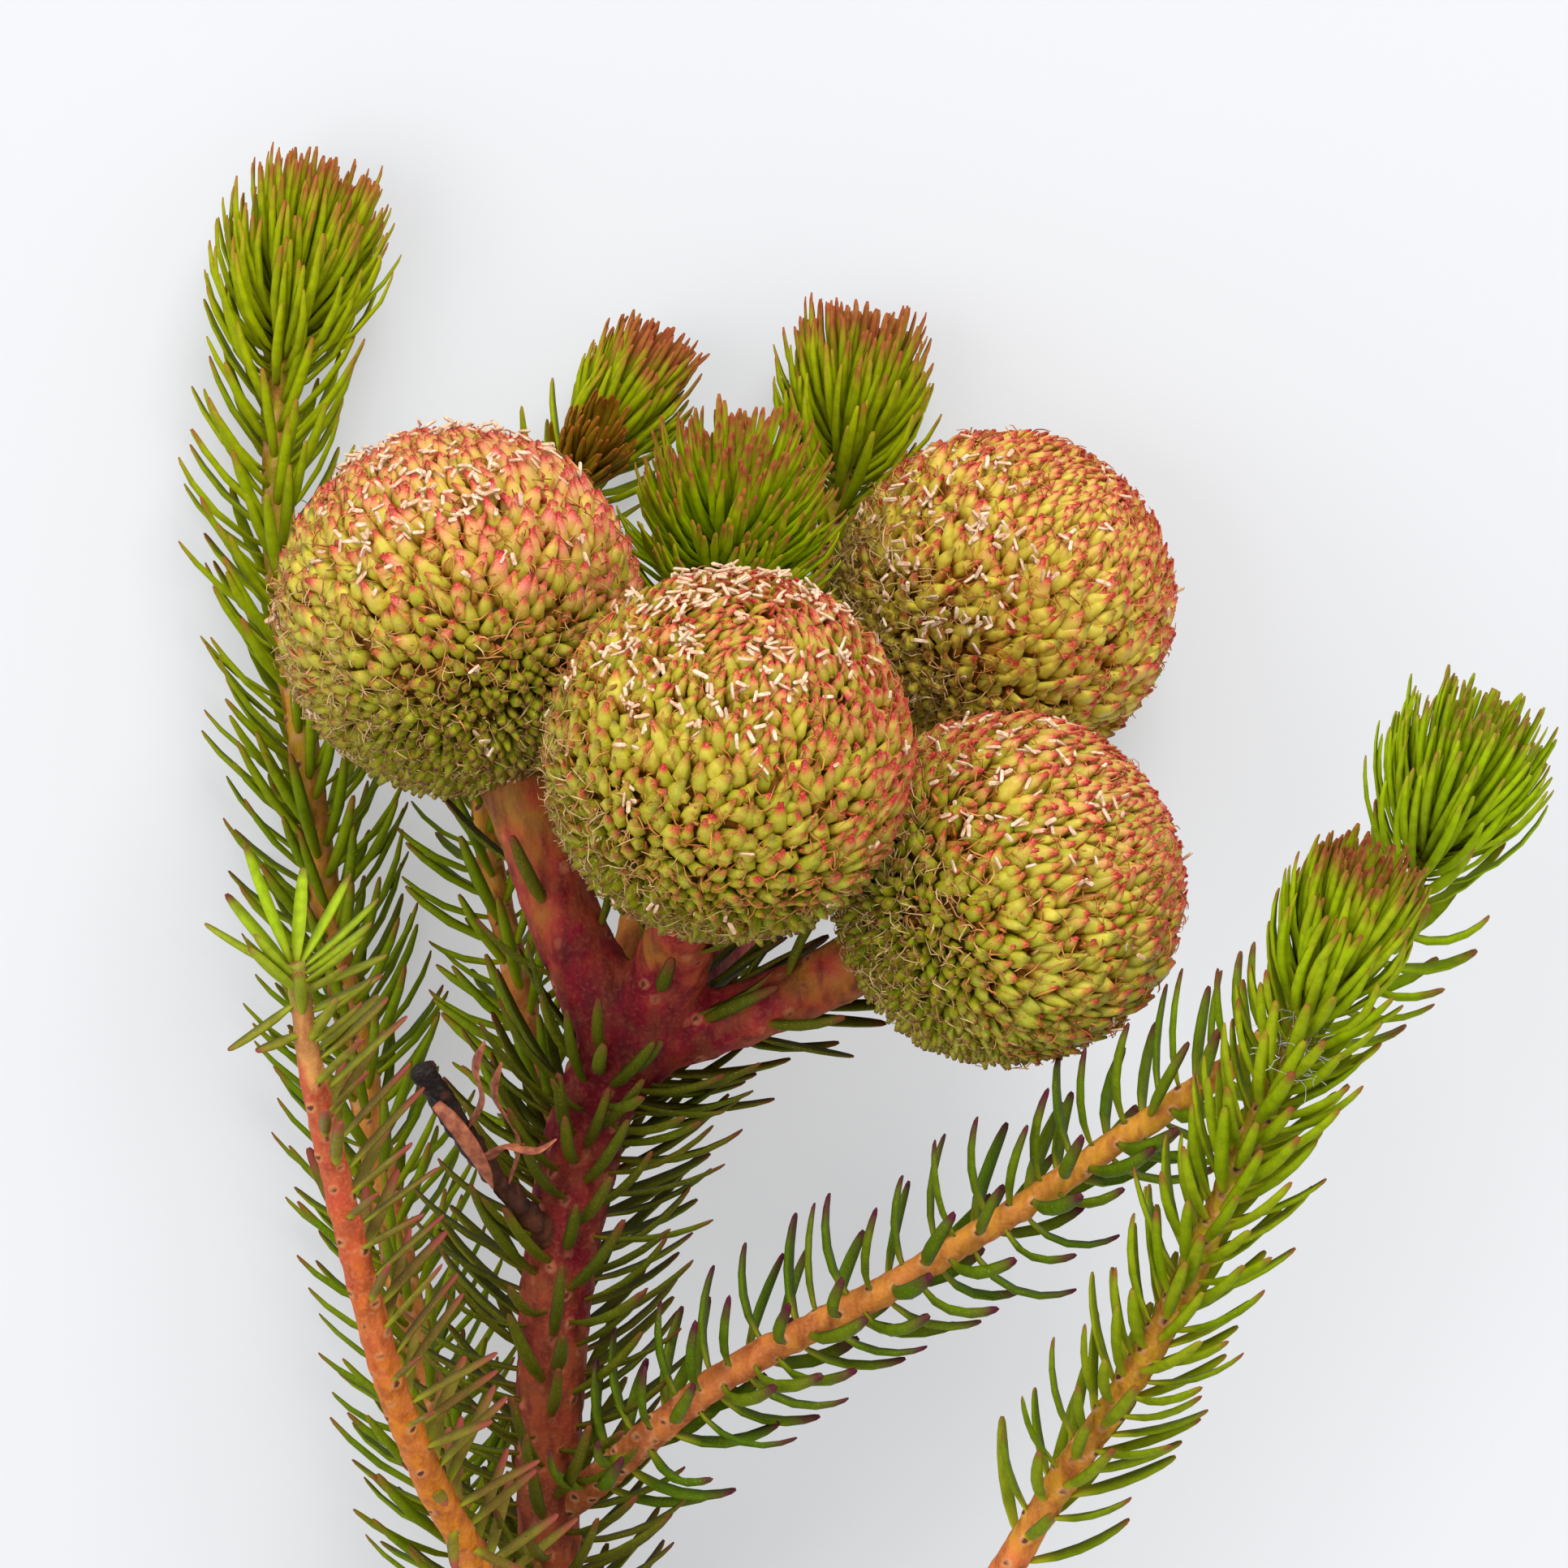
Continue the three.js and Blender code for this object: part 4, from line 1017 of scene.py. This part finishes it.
def cobweb():
    """Fine white hairs tangled between the needles below the right front shoot's brush."""
    rng = np.random.default_rng(41)
    each = (COBWEB_HAIRS, 1)
    spine = [COBWEB_CENTRE + rng.normal(0, 1, (COBWEB_HAIRS, 3)) * COBWEB_SPREAD]
    heading = unit(rng.normal(0, 1, (COBWEB_HAIRS, 3)))
    for _ in range(6):
        heading = unit(heading + rng.normal(0, 0.25, heading.shape))
        spine.append(spine[-1] + heading * rng.uniform(0.15, 0.35, each))
    spines = np.stack(spine, axis=1)
    thickness = rng.uniform(0.012, 0.02, each) * np.ones(len(spine))
    hairs = grown(spines, [[[0.1, 0.2, 1]]], circle(3), thickness, tint=rng.random(each))
    white = grained_material("hairs", (246, 246, 240), (214, 214, 204), 0.5)
    add_piece(hairs, "shoot_right_front_hairs", white)


def glowing_floor():
    """A pale table with a faint glow of its own, so shadows stay light."""
    mesh = bpy.data.meshes.new("floor")
    reach = 2.5
    corners = [(-reach, -reach, 0), (reach, -reach, 0), (reach, reach, 0), (-reach, reach, 0)]
    mesh.from_pydata(corners, [], [(0, 1, 2, 3)])
    look = Look("pale_table", roughness=0.9, specular=0.1)
    look.feed(look.surface, {"Emission Color": [0.98, 0.985, 1, 1], "Emission Strength": 0.4})
    mesh.materials.append(look.finish((158, 159, 161)))
    placed("floor", mesh)


def soft_light(name, position, size, power):
    """A round lamp, placed in metres, that shines at the middle of the stem."""
    data = bpy.data.lights.new(name, "AREA")
    data.shape = "DISK"
    data.size = size
    data.energy = power
    light = placed(name, data)
    light.location = position
    light.rotation_euler = (-light.location).to_track_quat("-Z", "Y").to_euler()
    light.visible_camera = False


def studio():
    """A camera straight above, pale surroundings, and soft light from the top right of the picture."""
    world = bpy.data.worlds.new("studio")
    bpy.context.scene.world = world
    world.use_nodes = True
    sky = world.node_tree.nodes["Background"]
    sky.inputs["Color"].default_value = (0.95, 0.97, 1, 1)
    sky.inputs["Strength"].default_value = 0.82
    soft_light("key", (0.6, 1.9, 2.2), 1.7, 66)
    soft_light("fill", (-1.5, -0.3, 1.9), 2, 24)
    data = bpy.data.cameras.new("camera")
    data.sensor_width = SENSOR_WIDTH
    data.lens = SENSOR_WIDTH * VIEW_DISTANCE / PHOTO_WIDTH
    data.clip_start = 0.01
    camera = placed("camera", data)
    camera.location = row([*VIEW_CENTRE, VIEW_DISTANCE])
    bpy.context.scene.camera = camera
    bpy.context.scene.view_settings.view_transform = "Standard"


glowing_floor()
studio()
flower_heads()
for shoot in SHOOTS:
    side_shoot(shoot)
main_stem()
withered_stub()
cobweb()
